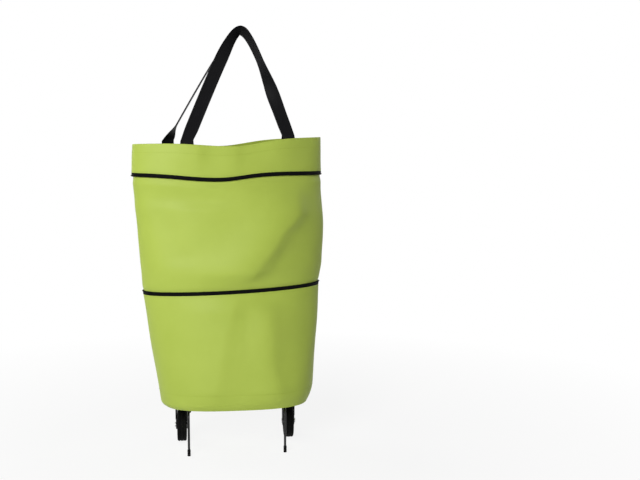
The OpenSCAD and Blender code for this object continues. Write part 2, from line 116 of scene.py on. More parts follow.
class Value:
    """A shader socket that takes part in Python arithmetic."""

    def __init__(self, shader: "Shader", socket: bpy.types.NodeSocket) -> None:
        """Wraps a socket of one shader."""
        self.shader = shader
        self.socket = socket

    def math(self, operation: str, *others: Union["Value", Number]) -> "Value":
        """Adds one Math node with this value as its first input.

        Args:
            operation: the Math node's operation.
            others: the node's other inputs.

        Returns:
            The node's result.
        """
        inputs = dict(enumerate((self, *others)))
        return self.shader.node("ShaderNodeMath", {"operation": operation}, inputs)

    def __add__(self, other: Union["Value", Number]) -> "Value":
        """Adds a value."""
        return self.math("ADD", other)

    __radd__ = __add__

    def __sub__(self, other: Union["Value", Number]) -> "Value":
        """Takes a value away."""
        return self.math("SUBTRACT", other)

    def __rsub__(self, other: Number) -> "Value":
        """Takes this value away from a number."""
        return (self * -1) + other

    def __mul__(self, other: Union["Value", Number]) -> "Value":
        """Multiplies by a value."""
        return self.math("MULTIPLY", other)

    __rmul__ = __mul__

    def __truediv__(self, other: Union["Value", Number]) -> "Value":
        """Divides by a value."""
        return self.math("DIVIDE", other)

    def wave(self, pitch: float) -> "Value":
        """A sine of this length in metres, one wave a pitch, from -1 to 1."""
        return (self * (TAU / pitch)).math("SINE")

    def stripe(self, pitch: float) -> "Value":
        """A triangle wave of this length in metres, one ridge a pitch, from 0 to 1."""
        return (self / pitch).math("PINGPONG", 0.5) * 2


class Shader:
    """The node tree of a material or of the surround, with the shader at its end."""

    def __init__(self, owner: Union[bpy.types.Material, bpy.types.World],
                 end: str = "Principled BSDF") -> None:
        """Starts the owner's nodes.

        Args:
            owner: the material or the world that the nodes belong to.
            end: the name of the shader node at the end.
        """
        self.owner = owner
        owner.use_nodes = True
        self.tree = owner.node_tree
        self.surface = self.tree.nodes[end]

    def node(self, kind: str, settings: Optional[dict[str, Any]] = None,
             inputs: Optional[dict[Any, Any]] = None, output: Union[int, str] = 0) -> Value:
        """Adds one node.

        Args:
            kind: the node's type.
            settings: its own properties, set before its sockets; "stops" fills a colour ramp.
            inputs: its sockets' values or links, by name or number.
            output: the output that is returned.

        Returns:
            The chosen output as a value.
        """
        made = self.tree.nodes.new(kind)
        for key, setting in (settings or {}).items():
            if key == "stops":
                self._fill_ramp(made.color_ramp, setting)
            else:
                setattr(made, key, setting)
        for key, given in (inputs or {}).items():
            self._feed(made.inputs[key], given)
        return Value(self, made.outputs[output])

    def _feed(self, socket: bpy.types.NodeSocket, given: Any) -> None:
        """Links a value to a socket, or sets the socket to a constant.

        Args:
            socket: the socket.
            given: the value to link, or the constant.
        """
        if isinstance(given, Value):
            self.tree.links.new(given.socket, socket)
        else:
            socket.default_value = given

    @staticmethod
    def _fill_ramp(ramp: bpy.types.ColorRamp, stops: Sequence[tuple[float, float]]) -> None:
        """Sets a ramp's stops from pairs of place and grey level.

        Args:
            ramp: the ramp.
            stops: the pairs, in order.
        """
        while len(ramp.elements) < len(stops):
            ramp.elements.new(1.0)
        for element, (place, level) in zip(ramp.elements, stops):
            element.position = place
            element.color = (level, level, level, 1)

    def set(self, **values: Any) -> None:
        """Feeds the end shader's sockets; an underscore stands for a space."""
        for key, given in values.items():
            self._feed(self.surface.inputs[key.replace("_", " ")], given)

    def place(self) -> Value:
        """The piece's own coordinates."""
        return self.node("ShaderNodeTexCoord", output="Object")

    def cloth(self) -> tuple[Value, Value]:
        """The lengths along and across the cloth, in metres, from the piece's UV map.

        Returns:
            The two lengths as values.
        """
        uv = self.node("ShaderNodeTexCoord", output="UV")
        split = self.node("ShaderNodeSeparateXYZ", inputs={0: uv}).socket.node
        return Value(self, split.outputs[0]), Value(self, split.outputs[1])

    def noise(self, scale: float, detail: float = 2.0, rough: float = 0.5,
              vector: Optional[Value] = None) -> Value:
        """Cloudy noise over the piece, from 0 to 1."""
        inputs = {"Vector": vector or self.place(), "Scale": scale, "Detail": detail, "Roughness": rough}
        return self.node("ShaderNodeTexNoise", inputs=inputs)

    def ramp(self, value: Value, stops: Sequence[tuple[float, float]]) -> Value:
        """Maps a value through grey stops."""
        return self.node("ShaderNodeValToRGB", {"stops": stops}, {0: value})

    def tint(self, share: Value, low: Colour, high: Colour) -> Value:
        """A colour between two, by a share."""
        return self.node("ShaderNodeMix", {"data_type": "RGBA"},
                         {0: share, 6: (*low, 1), 7: (*high, 1)}, output=2)

    def bump(self, height: Value, distance: float, strength: float = 1.0) -> Value:
        """A bump of the given depth in metres, for the Normal socket."""
        return self.node("ShaderNodeBump",
                         inputs={"Height": height, "Distance": distance, "Strength": strength})


@dataclass(frozen=True)
class Finish:
    """A surface finish: its name and its two colours, which vary over the surface."""

    name: str
    deep: Colour
    light: Colour
    rough: float = 0.5
    gloss: float = 0.5

    def dress(self, shader: Shader) -> None:
        """Builds the finish's nodes."""
        raise NotImplementedError

    def material(self) -> bpy.types.Material:
        """The finish's material, made once.

        Returns:
            The material.
        """
        found = bpy.data.materials.get(self.name)
        if found is None:
            found = bpy.data.materials.new(self.name)
            self.dress(Shader(found))
            found.diffuse_color = (*self.light, 1)
        return found


@dataclass(frozen=True)
class CoatedFabric(Finish):
    """Woven polyester with a thin coat: a fine plain weave and faint creases."""

    yarn: float = 0.9 * MM
    weave_depth: float = 0.07 * MM
    crease_depth: float = 0.9 * MM

    def dress(self, shader: Shader) -> None:
        """Builds the weave, the slow change of tone and the small creases, with painted shade in the crease
        valleys and the weave's hollows.

        Args:
            shader: the material that gets them.
        """
        along, across = shader.cloth()
        weave = along.wave(self.yarn) * across.wave(self.yarn) * 0.5 + 0.5
        slub = shader.noise(900, 2)
        tone = shader.noise(9, 3, 0.55)
        creases = shader.noise(26, 3, 0.6)
        # Colour share: random tone and slub, plus painted shade that darkens the crease valleys and the
        # weave's hollows, following the same noises as the bump.
        share = tone * 0.55 + creases * 0.25 + weave * 0.12 + slub * 0.08
        tone_and_crease_shade = shader.ramp(share, ((0.3, 0.0), (0.7, 1.0)))
        fine = shader.bump(weave * 0.8 + slub * 0.4, self.weave_depth, 0.6)
        folds = shader.node("ShaderNodeBump", inputs={
            "Height": creases * 0.6 + tone * 0.4, "Distance": self.crease_depth, "Strength": 0.55,
            "Normal": fine})
        shader.set(Base_Color=shader.tint(tone_and_crease_shade, self.deep, self.light),
                   Roughness=tone * 0.12 + (self.rough - 0.06) + weave * 0.05,
                   Normal=folds, Specular_IOR_Level=self.gloss)


@dataclass(frozen=True)
class WovenBand(Finish):
    """Webbing or zip tape: ribs across the band and a herringbone along it."""

    rib: float = 1.6 * MM
    pick: float = 2.4 * MM
    depth: float = 0.22 * MM

    def dress(self, shader: Shader) -> None:
        """Builds the ribs, the herringbone and the fuzz, with painted shade in the hollows of the ribs and
        twill.

        Args:
            shader: the material that gets them.
        """
        along, across = shader.cloth()
        lean = across.stripe(4 * self.rib) * self.pick
        twill = (along + lean).stripe(self.pick)
        ribs = across.stripe(self.rib)
        fuzz = shader.noise(1600, 2)
        height = twill * 0.55 + ribs * 0.35 + fuzz * 0.1
        # The colour follows the weave's height: painted shade darkens the hollows of the ribs and twill, with
        # a little random tone on top.
        share = shader.ramp(height * 0.7 + shader.noise(30, 2) * 0.3, ((0.25, 0.0), (0.8, 1.0)))
        shader.set(Base_Color=shader.tint(share, self.deep, self.light),
                   Roughness=height * -0.15 + (self.rough + 0.08),
                   Normal=shader.bump(height, self.depth, 0.7), Specular_IOR_Level=self.gloss)


@dataclass(frozen=True)
class Moulded(Finish):
    """Moulded plastic: a fine spark-eroded grain, with faint handling marks."""

    grain: float = 1400.0
    depth: float = 0.05 * MM

    def dress(self, shader: Shader) -> None:
        """Builds the grain and the marks.

        Args:
            shader: the material that gets them.
        """
        grain = shader.noise(self.grain, 2, 0.6)
        marks = shader.noise(45, 4, 0.7)
        share = shader.ramp(marks * 0.7 + grain * 0.3, ((0.35, 0.0), (0.75, 1.0)))
        shader.set(Base_Color=shader.tint(share, self.deep, self.light),
                   Roughness=marks * 0.22 + (self.rough - 0.11),
                   Normal=shader.bump(grain, self.depth, 0.5), Specular_IOR_Level=self.gloss)


@dataclass(frozen=True)
class Rubber(Finish):
    """Soft black rubber with a dusty bloom and fine pores."""

    def dress(self, shader: Shader) -> None:
        """Builds the bloom and the pores.

        Args:
            shader: the material that gets them.
        """
        bloom = shader.noise(60, 4, 0.65)
        pores = shader.noise(2200, 1)
        share = shader.ramp(bloom * 0.8 + pores * 0.2, ((0.4, 0.0), (0.8, 1.0)))
        shader.set(Base_Color=shader.tint(share, self.deep, self.light),
                   Roughness=bloom * 0.2 + (self.rough - 0.1),
                   Normal=shader.bump(pores, 0.04 * MM, 0.5), Specular_IOR_Level=self.gloss)


@dataclass(frozen=True)
class Metal(Finish):
    """Bare or lacquered steel: drawn lines along the wire or turned lines round it, with scuffs."""

    metallic: float = 1.0
    coat: float = 0.0
    line_depth: float = 0.02 * MM

    def dress(self, shader: Shader) -> None:
        """Builds the fine lines and the scuffs.

        Args:
            shader: the material that gets them.
        """
        stretched = shader.node("ShaderNodeMapping", inputs={0: shader.place(), 3: (2600, 240, 240)})
        lines = shader.noise(1, 2, 0.6, stretched)
        scuffs = shader.noise(120, 4, 0.7)
        share = shader.ramp(scuffs * 0.65 + lines * 0.35, ((0.3, 0.0), (0.75, 1.0)))
        shader.set(Base_Color=shader.tint(share, self.deep, self.light), Metallic=self.metallic,
                   Roughness=scuffs * 0.2 + lines * 0.08 + (self.rough - 0.14),
                   Normal=shader.bump(lines, self.line_depth, 0.4), Coat_Weight=self.coat,
                   Specular_IOR_Level=self.gloss)


@dataclass(frozen=True)
class Board(Finish):
    """Stiff recycled sheet with pressed fibres."""

    def dress(self, shader: Shader) -> None:
        """Builds the fibres and flecks.

        Args:
            shader: the material that gets them.
        """
        fibres = shader.noise(240, 4, 0.7)
        flecks = shader.noise(700, 2)
        share = shader.ramp(fibres * 0.6 + flecks * 0.4, ((0.35, 0.0), (0.65, 1.0)))
        shader.set(Base_Color=shader.tint(share, self.deep, self.light),
                   Roughness=fibres * 0.15 + (self.rough - 0.07),
                   Normal=shader.bump(fibres, 0.12 * MM, 0.6))


class Finishes:
    """The finishes that the bag's pieces wear."""

    FABRIC = CoatedFabric("green_fabric", (0.382, 0.488, 0.07), (0.422, 0.53, 0.084), 0.48, 0.26)
    LINING = CoatedFabric("green_lining", (0.33, 0.42, 0.05), (0.37, 0.465, 0.06), 0.6, 0.25)
    THREAD = WovenBand("green_thread", (0.34, 0.44, 0.045), (0.44, 0.55, 0.07), 0.5, 0.3,
                       0.5 * MM, 0.6 * MM, 0.05 * MM)
    WEBBING = WovenBand("black_webbing_weave", (0.002, 0.002, 0.0024), (0.005, 0.005, 0.006), 0.55, 0.08)
    TAPE = WovenBand("black_tape_weave", (0.0015, 0.0015, 0.0015), (0.004, 0.004, 0.004), 0.7, 0.06,
                     0.8 * MM, 1.2 * MM, 0.08 * MM)
    DARK_THREAD = WovenBand("black_thread", (0.004, 0.004, 0.0045), (0.01, 0.01, 0.011), 0.5, 0.15,
                            0.5 * MM, 0.6 * MM, 0.05 * MM)
    COIL = Moulded("black_coil_thread", (0.002, 0.002, 0.002), (0.005, 0.005, 0.005), 0.42, 0.1,
                   2600.0, 0.02 * MM)
    PLASTIC = Moulded("black_moulding", (0.003, 0.003, 0.003), (0.007, 0.007, 0.007), 0.45, 0.1)
    RUBBER = Rubber("black_rubber", (0.003, 0.003, 0.003), (0.009, 0.009, 0.0085), 0.7, 0.06)
    WIRE = Metal("lacquered_wire", (0.004, 0.004, 0.004), (0.01, 0.01, 0.0105), 0.36, 0.25, 0.0, 0.15)
    STEEL = Metal("bright_steel", (0.42, 0.42, 0.43), (0.66, 0.66, 0.67), 0.34)
    SLIDER = Metal("lacquered_slider", (0.006, 0.006, 0.006), (0.016, 0.016, 0.0165), 0.36, 0.3, 0.2, 0.2)
    BOARD = Board("base_board", (0.055, 0.055, 0.056), (0.12, 0.12, 0.12), 0.75)


Spot = tuple[float, float]
Place = Callable[[float, float], Vector]
Chart = Callable[[float, float], Spot]


def ring_section(bore: float, outer: float, width: float, edge: float) -> list[Spot]:
    """The section of a plain ring with broken edges, as pairs of radius and length."""
    return [(bore, edge), (bore + edge, 0), (outer - edge, 0), (outer, edge), (outer, width - edge),
            (outer - edge, width), (bore + edge, width), (bore, width - edge)]


class Work:
    """A mesh in the making, which becomes one dressed piece."""

    def __init__(self) -> None:
        """Starts an empty mesh with a UV map for cloth lengths."""
        self.bm = bmesh.new()
        self.chart = self.bm.loops.layers.uv.new("cloth")

    def surface(self, columns: int, rows: int, place: Place, chart: Optional[Chart] = None,
                finish: Optional[Callable[[float], int]] = None) -> list[bmesh.types.BMVert]:
        """Makes a grid and lays it in space; edges that meet are joined.

        Args:
            columns: the faces along u.
            rows: the faces along v.
            place: gives the point at u and v, each from 0 to 1.
            chart: gives the cloth lengths there.
            finish: gives the material number at v.

        Returns:
            The new vertices.
        """
        made = bmesh.ops.create_grid(self.bm, x_segments=columns, y_segments=rows, size=0.5)["verts"]
        for face in {face for vert in made for face in vert.link_faces}:
            if finish:
                face.material_index = finish(face.calc_center_median().y + 0.5)
            for loop in face.loops:
                spot = loop.vert.co
                u, v = spot.x + 0.5, spot.y + 0.5
                loop[self.chart].uv = chart(u, v) if chart else (u, v)
        for vert in made:
            vert.co = place(vert.co.x + 0.5, vert.co.y + 0.5)
        bmesh.ops.remove_doubles(self.bm, verts=made, dist=1e-6)
        return [vert for vert in made if vert.is_valid]

    def lathe(self, profile: Sequence[Spot], start: Vector, axis: Vector, steps: int = 64) -> None:
        """Spins a closed profile into a ring.

        Args:
            profile: pairs of radius and length along the axis, in millimetres.
            start: the point of the axis at length 0.
            axis: the axis' direction.
            steps: the faces round the ring.
        """
        away = axis.orthogonal().normalized()
        spots = [start + away * (radius * MM) + axis * (length * MM) for radius, length in profile]
        verts = [self.bm.verts.new(spot) for spot in spots]
        edges = [self.bm.edges.new(pair) for pair in zip(verts, verts[1:] + verts[:1])]
        bmesh.ops.spin(self.bm, geom=verts + edges, cent=start, axis=axis, angle=TAU, steps=steps,
                       use_merge=True)
        bmesh.ops.remove_doubles(self.bm, verts=self.bm.verts, dist=1e-6)

    def bar(self, low: Vector, high: Vector, bevel: float, segments: int = 3) -> list[bmesh.types.BMVert]:
        """Makes a bar with rounded edges between two corners.

        Args:
            low: the lowest corner.
            high: the highest corner.
            bevel: the edges' radius.
            segments: the faces across each rounded edge.

        Returns:
            The new vertices.
        """
        size = Vector(map(abs, high - low))
        shape = Matrix.Translation((low + high) / 2) @ Matrix.Diagonal((*size, 1))
        verts = bmesh.ops.create_cube(self.bm, size=1, matrix=shape)["verts"]
        edges = list({edge for vert in verts for edge in vert.link_edges})
        made = bmesh.ops.bevel(self.bm, geom=edges, offset=bevel, offset_type="OFFSET", affect="EDGES",
                               segments=segments, profile=0.5, material=-1, clamp_overlap=True)
        return list({*made["verts"], *(vert for vert in verts if vert.is_valid)})

    def plate(self, radius: float, reach: float, thickness: float, bevel: float, matrix: Matrix) -> None:
        """Makes a plate with a round end: a disc in XY whose upper half is drawn out along Y.

        Args:
            radius: the round end's radius.
            reach: how far the straight end lies from the disc's middle.
            thickness: the plate's thickness, along Z.
            bevel: the edges' radius.
            matrix: the plate's place.
        """
        verts = bmesh.ops.create_circle(self.bm, cap_ends=True, radius=radius, segments=48)["verts"]
        for vert in verts:
            if vert.co.y > 1e-7:
                vert.co.y = reach
        bmesh.ops.remove_doubles(self.bm, verts=verts, dist=1e-6)
        verts = [vert for vert in verts if vert.is_valid]
        faces = list({face for vert in verts for face in vert.link_faces})
        grown = bmesh.ops.extrude_face_region(self.bm, geom=faces)["geom"]
        top = [item for item in grown if isinstance(item, bmesh.types.BMVert)]
        bmesh.ops.translate(self.bm, verts=top, vec=(0, 0, thickness))
        every = verts + top
        rims = {edge for vert in every for edge in vert.link_edges if edge.calc_face_angle(0) > 0.6}
        made = bmesh.ops.bevel(self.bm, geom=list(rims), offset=bevel, offset_type="OFFSET", affect="EDGES",
                               segments=3, profile=0.5, material=-1, clamp_overlap=True)["verts"]
        whole = list({*made, *(vert for vert in every if vert.is_valid)})
        bmesh.ops.transform(self.bm, matrix=matrix, verts=whole)

    def sweep(self, path: Sequence[Vector], radius: float, sides: int = 16) -> None:
        """Makes a round wire along a path, with closed ends.

        Args:
            path: the points of the middle line.
            radius: the wire's radius.
            sides: the faces round it.
        """
        last = len(path) - 1
        way = [(path[min(last, k + 1)] - path[max(0, k - 1)]).normalized() for k in range(last + 1)]
        away = [way[0].orthogonal().normalized()]
        for k in range(1, last + 1):
            away.append((way[k - 1].rotation_difference(way[k]) @ away[-1]).normalized())

        def place(u: float, v: float) -> Vector:
            """A point of the wire's skin.

            Args:
                u: the place round it, from 0 to 1.
                v: the place along it, from 0 to 1.

            Returns:
                The point, in metres.
            """
            k = round(v * last)
            side = way[k].cross(away[k])
            return path[k] + (away[k] * math.cos(TAU * u) + side * math.sin(TAU * u)) * radius

        length = sum((b - a).length for a, b in zip(path, path[1:]))
        verts = self.surface(sides, last, place, lambda u, v: (v * length, u * TAU * radius))
        self.close(verts)

    def close(self, verts: Iterable[bmesh.types.BMVert]) -> None:
        """Fills the open ends of a tube."""
        edges = {edge for vert in verts for edge in vert.link_edges if edge.is_boundary}
        bmesh.ops.holes_fill(self.bm, edges=list(edges), sides=0)

    def piece(self, name: str, finishes: Sequence[Finish], smooth_angle: float = 40.0,
              outward: bool = True) -> bpy.types.Object:
        """Turns the mesh into an object.

        Args:
            name: the piece's name.
            finishes: its finishes, by material number.
            smooth_angle: edges sharper than these degrees stay sharp.
            outward: whether the faces are turned outwards.

        Returns:
            The object.
        """
        if outward:
            bmesh.ops.recalc_face_normals(self.bm, faces=self.bm.faces)
        for face in self.bm.faces:
            face.smooth = True
        for edge in self.bm.edges:
            edge.smooth = edge.calc_face_angle(0) < math.radians(smooth_angle)
        mesh = bpy.data.meshes.new(name)
        self.bm.to_mesh(mesh)
        self.bm.free()
        for finish in finishes:
            mesh.materials.append(finish.material())
        obj = bpy.data.objects.new(name, mesh)
        bpy.context.scene.collection.objects.link(obj)
        LOG.info("%s: %d faces", name, len(mesh.polygons))
        return obj


def settle(obj: bpy.types.Object, body: Union[Body, str], slot: str, *nodes: str) -> None:
    """Puts a piece on its body in place of its nodes.

    Args:
        obj: the piece.
        body: the body that it rides on.
        slot: its material slot; not used.
        nodes: the nodes that it stands for.
    """
    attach(obj, body.value if isinstance(body, Body) else body)
    if nodes:
        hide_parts(*nodes)


@dataclass(frozen=True)
class Fold:
    """A soft ridge or valley of the cloth, along a path of angles in degrees and heights in millimetres."""

    path: tuple[Spot, ...]
    height: float
    left: float
    right: float
    fade: float = 30.0

    def rise(self, angle: float, z: float, pace: float) -> float:
        """How far the cloth stands out.

        Args:
            angle: the angle round the bag, in degrees.
            z: the height.
            pace: the length of one degree along the wall there.

        Returns:
            The distance, in millimetres.
        """
        low, high = self.path[0][1], self.path[-1][1]
        over = max(low - z, z - high, 0.0)
        if over >= self.fade:
            return 0.0
        middle = self.path[-1][0] if z >= high else self.path[0][0]
        for (a, za), (b, zb) in zip(self.path, self.path[1:]):
            if za <= z <= zb:
                middle = mix(a, b, smooth((z - za) / (zb - za)) * 0.4 + (z - za) / (zb - za) * 0.6)
        away = (angle - middle + 180) % 360 - 180
        share = away * pace / (self.left if away < 0 else self.right)
        return self.height * math.exp(-share * share) * smooth(1 - over / self.fade)


@dataclass(frozen=True)
class BagShape:
    """The bag's folded walls in millimetres: an oval, squarer at the base, that changes with the height."""

    levels: tuple[float, ...] = (106, 350, 590, 659)
    widths: tuple[float, ...] = (316, 377, 408, 402)
    depths: tuple[float, ...] = (208, 168, 140, 120)
    middles: tuple[float, ...] = (10, 5, 0, 0)
    turns: tuple[float, ...] = (0, 9, 13, 13)
    tilts: tuple[float, ...] = (0, 4, 0, 8)
    squares: tuple[float, ...] = (2.8, 2, 2, 2)
    dips: tuple[float, ...] = (0, 0, 11, 12)
    rear_dips: tuple[float, ...] = (0, 0, 0, 11)
    dip_places: tuple[float, ...] = (-0.2, -0.2, -0.2, 0)
    dip_left: float = 0.5
    dip_right: float = 0.35
    corner_left: float = 9
    corner_right: float = 30
    corner_in: float = 7
    hold: float = 46
    folds: tuple[Fold, ...] = (
        Fold(((-86, 372), (-68, 459), (-53, 508)), 10, 100, 28, 80),
        Fold(((-80, 410), (-68, 455), (-62, 480)), 11, 105, 95, 90),
        Fold(((-128, 430), (-150, 560)), -3, 30, 40),
        Fold(((-112, 545), (-120, 575)), -5, 80, 60, 24),
        Fold(((-101, 140), (-99, 240), (-94.5, 335)), 5.5, 70, 22),
        Fold(((-66, 120), (-74, 200), (-74, 310)), 5, 40, 24, 36),
        Fold(((-70, 130), (-76, 210), (-76, 260)), 8, 70, 95, 80),
        Fold(((-115, 600), (-114, 659)), 3, 60, 18),
        Fold(((-92, 604), (-91, 659)), 2.6, 30, 16),
        Fold(((-60, 600), (-57, 659)), 5, 48, 50),
        Fold(((96, 380), (78, 450), (60, 540)), 8, 34, 80),
        Fold(((128, 400), (140, 560)), -3, 36, 30),
        Fold(((108, 130), (100, 230), (95, 330)), 4, 24, 60),
        Fold(((68, 130), (74, 230), (78, 330)), -3, 40, 22),
        Fold(((70, 600), (72, 659)), -3, 22, 22),
        Fold(((104, 600), (106, 659)), -3, 22, 26),
        Fold(((178, 400), (182, 480)), -4, 44, 44, 84),
        Fold(((2, 390), (-2, 440)), 2.5, 30, 30, 80),
    )

    def along(self, z: float, values: Sequence[float]) -> float:
        """The value at a height, between those at the levels.

        Args:
            z: the height.
            values: the values, one a level.

        Returns:
            The value there.
        """
        for low, high, a, b in zip(self.levels, self.levels[1:], values, values[1:]):
            if z <= high:
                return mix(a, b, max(0.0, (z - low) / (high - low)))
        return values[-1]

    def held(self, z: float) -> float:
        """How freely the cloth folds at a height: not at all on a zip or in the base seam."""
        return min(smooth(abs(z - level) / self.hold) for level in self.levels[:3])

    def fold(self, angle: float, z: float, pace: float) -> float:
        """How far the folds stand out of the wall, in millimetres.

        Args:
            angle: the angle round the bag, in radians.
            z: the height.
            pace: the length of one degree along the wall there.

        Returns:
            The distance.
        """
        turn = math.degrees(angle)
        slack = 0.7 * math.sin(3 * angle + z / 47) + 0.5 * math.sin(7 * angle - z / 31)
        return self.held(z) * (slack + sum(fold.rise(turn, z, pace) for fold in self.folds))

    def point(self, angle: float, z: float, inset: float = 0.0, lift: float = 0.0) -> Vector:
        """A point of the wall.

        Args:
            angle: the angle round the bag, in radians.
            z: the height, before the wall's tilt and dip.
            inset: how far the point lies inside the wall's outer face.
            lift: a distance straight up.

        Returns:
            The point, in metres.
        """
        c, s = math.cos(angle), math.sin(angle)
        power = 2 / self.along(z, self.squares)
        half_w, half_d = self.along(z, self.widths) / 2, self.along(z, self.depths) / 2
        pace = math.hypot(half_w * s, half_d * c) * math.pi / 180
        outward = Vector((squared(c, 2 - power) / half_w, squared(s, 2 - power) / half_d)).normalized()
        outward *= self.fold(angle, z, pace) - inset
        x, y = half_w * squared(c, power) + outward.x, half_d * squared(s, power) + outward.y
        turn = math.radians(self.along(z, self.turns))
        away = c - self.along(z, self.dip_places)
        reach = self.dip_left if away < 0 else self.dip_right
        dip = self.along(z, self.dips if s < 0 else self.rear_dips) * math.exp(-(away / reach) ** 2)
        return Vector((self.along(z, self.middles) + x * math.cos(turn) - y * math.sin(turn),
                       x * math.sin(turn) + y * math.cos(turn),
                       z + self.along(z, self.tilts) * c - dip + lift)) * MM

    def corner(self, angle: float, share: float, inset: float = 0.0) -> Vector:
        """A point of the rounded bottom edge.

        Args:
            angle: the angle round the bag, in radians.
            share: 0 on the base and 1 where the edge meets the wall.
            inset: how far the point lies inside the outer face.

        Returns:
            The point, in metres.
        """
        high = mix(self.corner_left, self.corner_right, (1 + math.cos(angle)) / 2)
        return self.point(angle, self.levels[0] + high * share, inset + self.corner_in * (1 - share) ** 2)

    def pace_along(self, angle: float, z: float, inset: float = 0.0) -> Vector:
        """The way along the wall for a radian, with the angle growing."""
        ahead, behind = self.point(angle + NEAR, z, inset), self.point(angle - NEAR, z, inset)
        return (ahead - behind) / (2 * NEAR)

    def along_wall(self, angle: float, z: float, inset: float = 0.0) -> Vector:
        """The direction along the wall, with the angle growing."""
        return self.pace_along(angle, z, inset).normalized()


Station = Callable[[float], Vector]


class Stitching:
    """Rows of lockstitch: one small rounded stitch after another."""

    def __init__(self, name: str, finish: Finish, length: float = 2.9, pitch: float = 3.8,
                 thread: float = 0.32) -> None:
        """Starts a piece of stitching; lengths are in millimetres.

        Args:
            name: the piece's name.
            finish: the thread's finish.
            length: a stitch's length.
            pitch: the distance from stitch to stitch.
            thread: the thread's radius.
        """
        self.name = name
        self.finish = finish
        self.length, self.pitch, self.thread = length * MM, pitch * MM, thread * MM
        self.work = Work()

    def row(self, path: Sequence[Vector], outward: Callable[[int], Vector]) -> None:
        """Sews along a path.

        Args:
            path: the row's points.
            outward: the direction out of the cloth at a point's number.
        """
        spare = 0.0
        stitches = bmesh.new()
        for k, (a, b) in enumerate(zip(path, path[1:])):
            way, out = (b - a).normalized(), outward(k)
            side = way.cross(out).normalized()
            axes = (way * self.length / 2, side * self.thread, out * self.thread)
            turn = Matrix(axes).transposed().to_4x4()
            while spare <= (b - a).length:
                place = Matrix.Translation(a + way * spare) @ turn
                bmesh.ops.create_uvsphere(stitches, u_segments=6, v_segments=4, radius=1,
                                          matrix=place @ Matrix.Rotation(math.pi / 2, 4, "Y"))
                spare += self.pitch
            spare -= (b - a).length
        sewn = bpy.data.meshes.new("row")
        stitches.to_mesh(sewn)
        stitches.free()
        self.work.bm.from_mesh(sewn)
        bpy.data.meshes.remove(sewn)

    def piece(self) -> bpy.types.Object:
        """The finished piece."""
        return self.work.piece(self.name, [self.finish], 180)


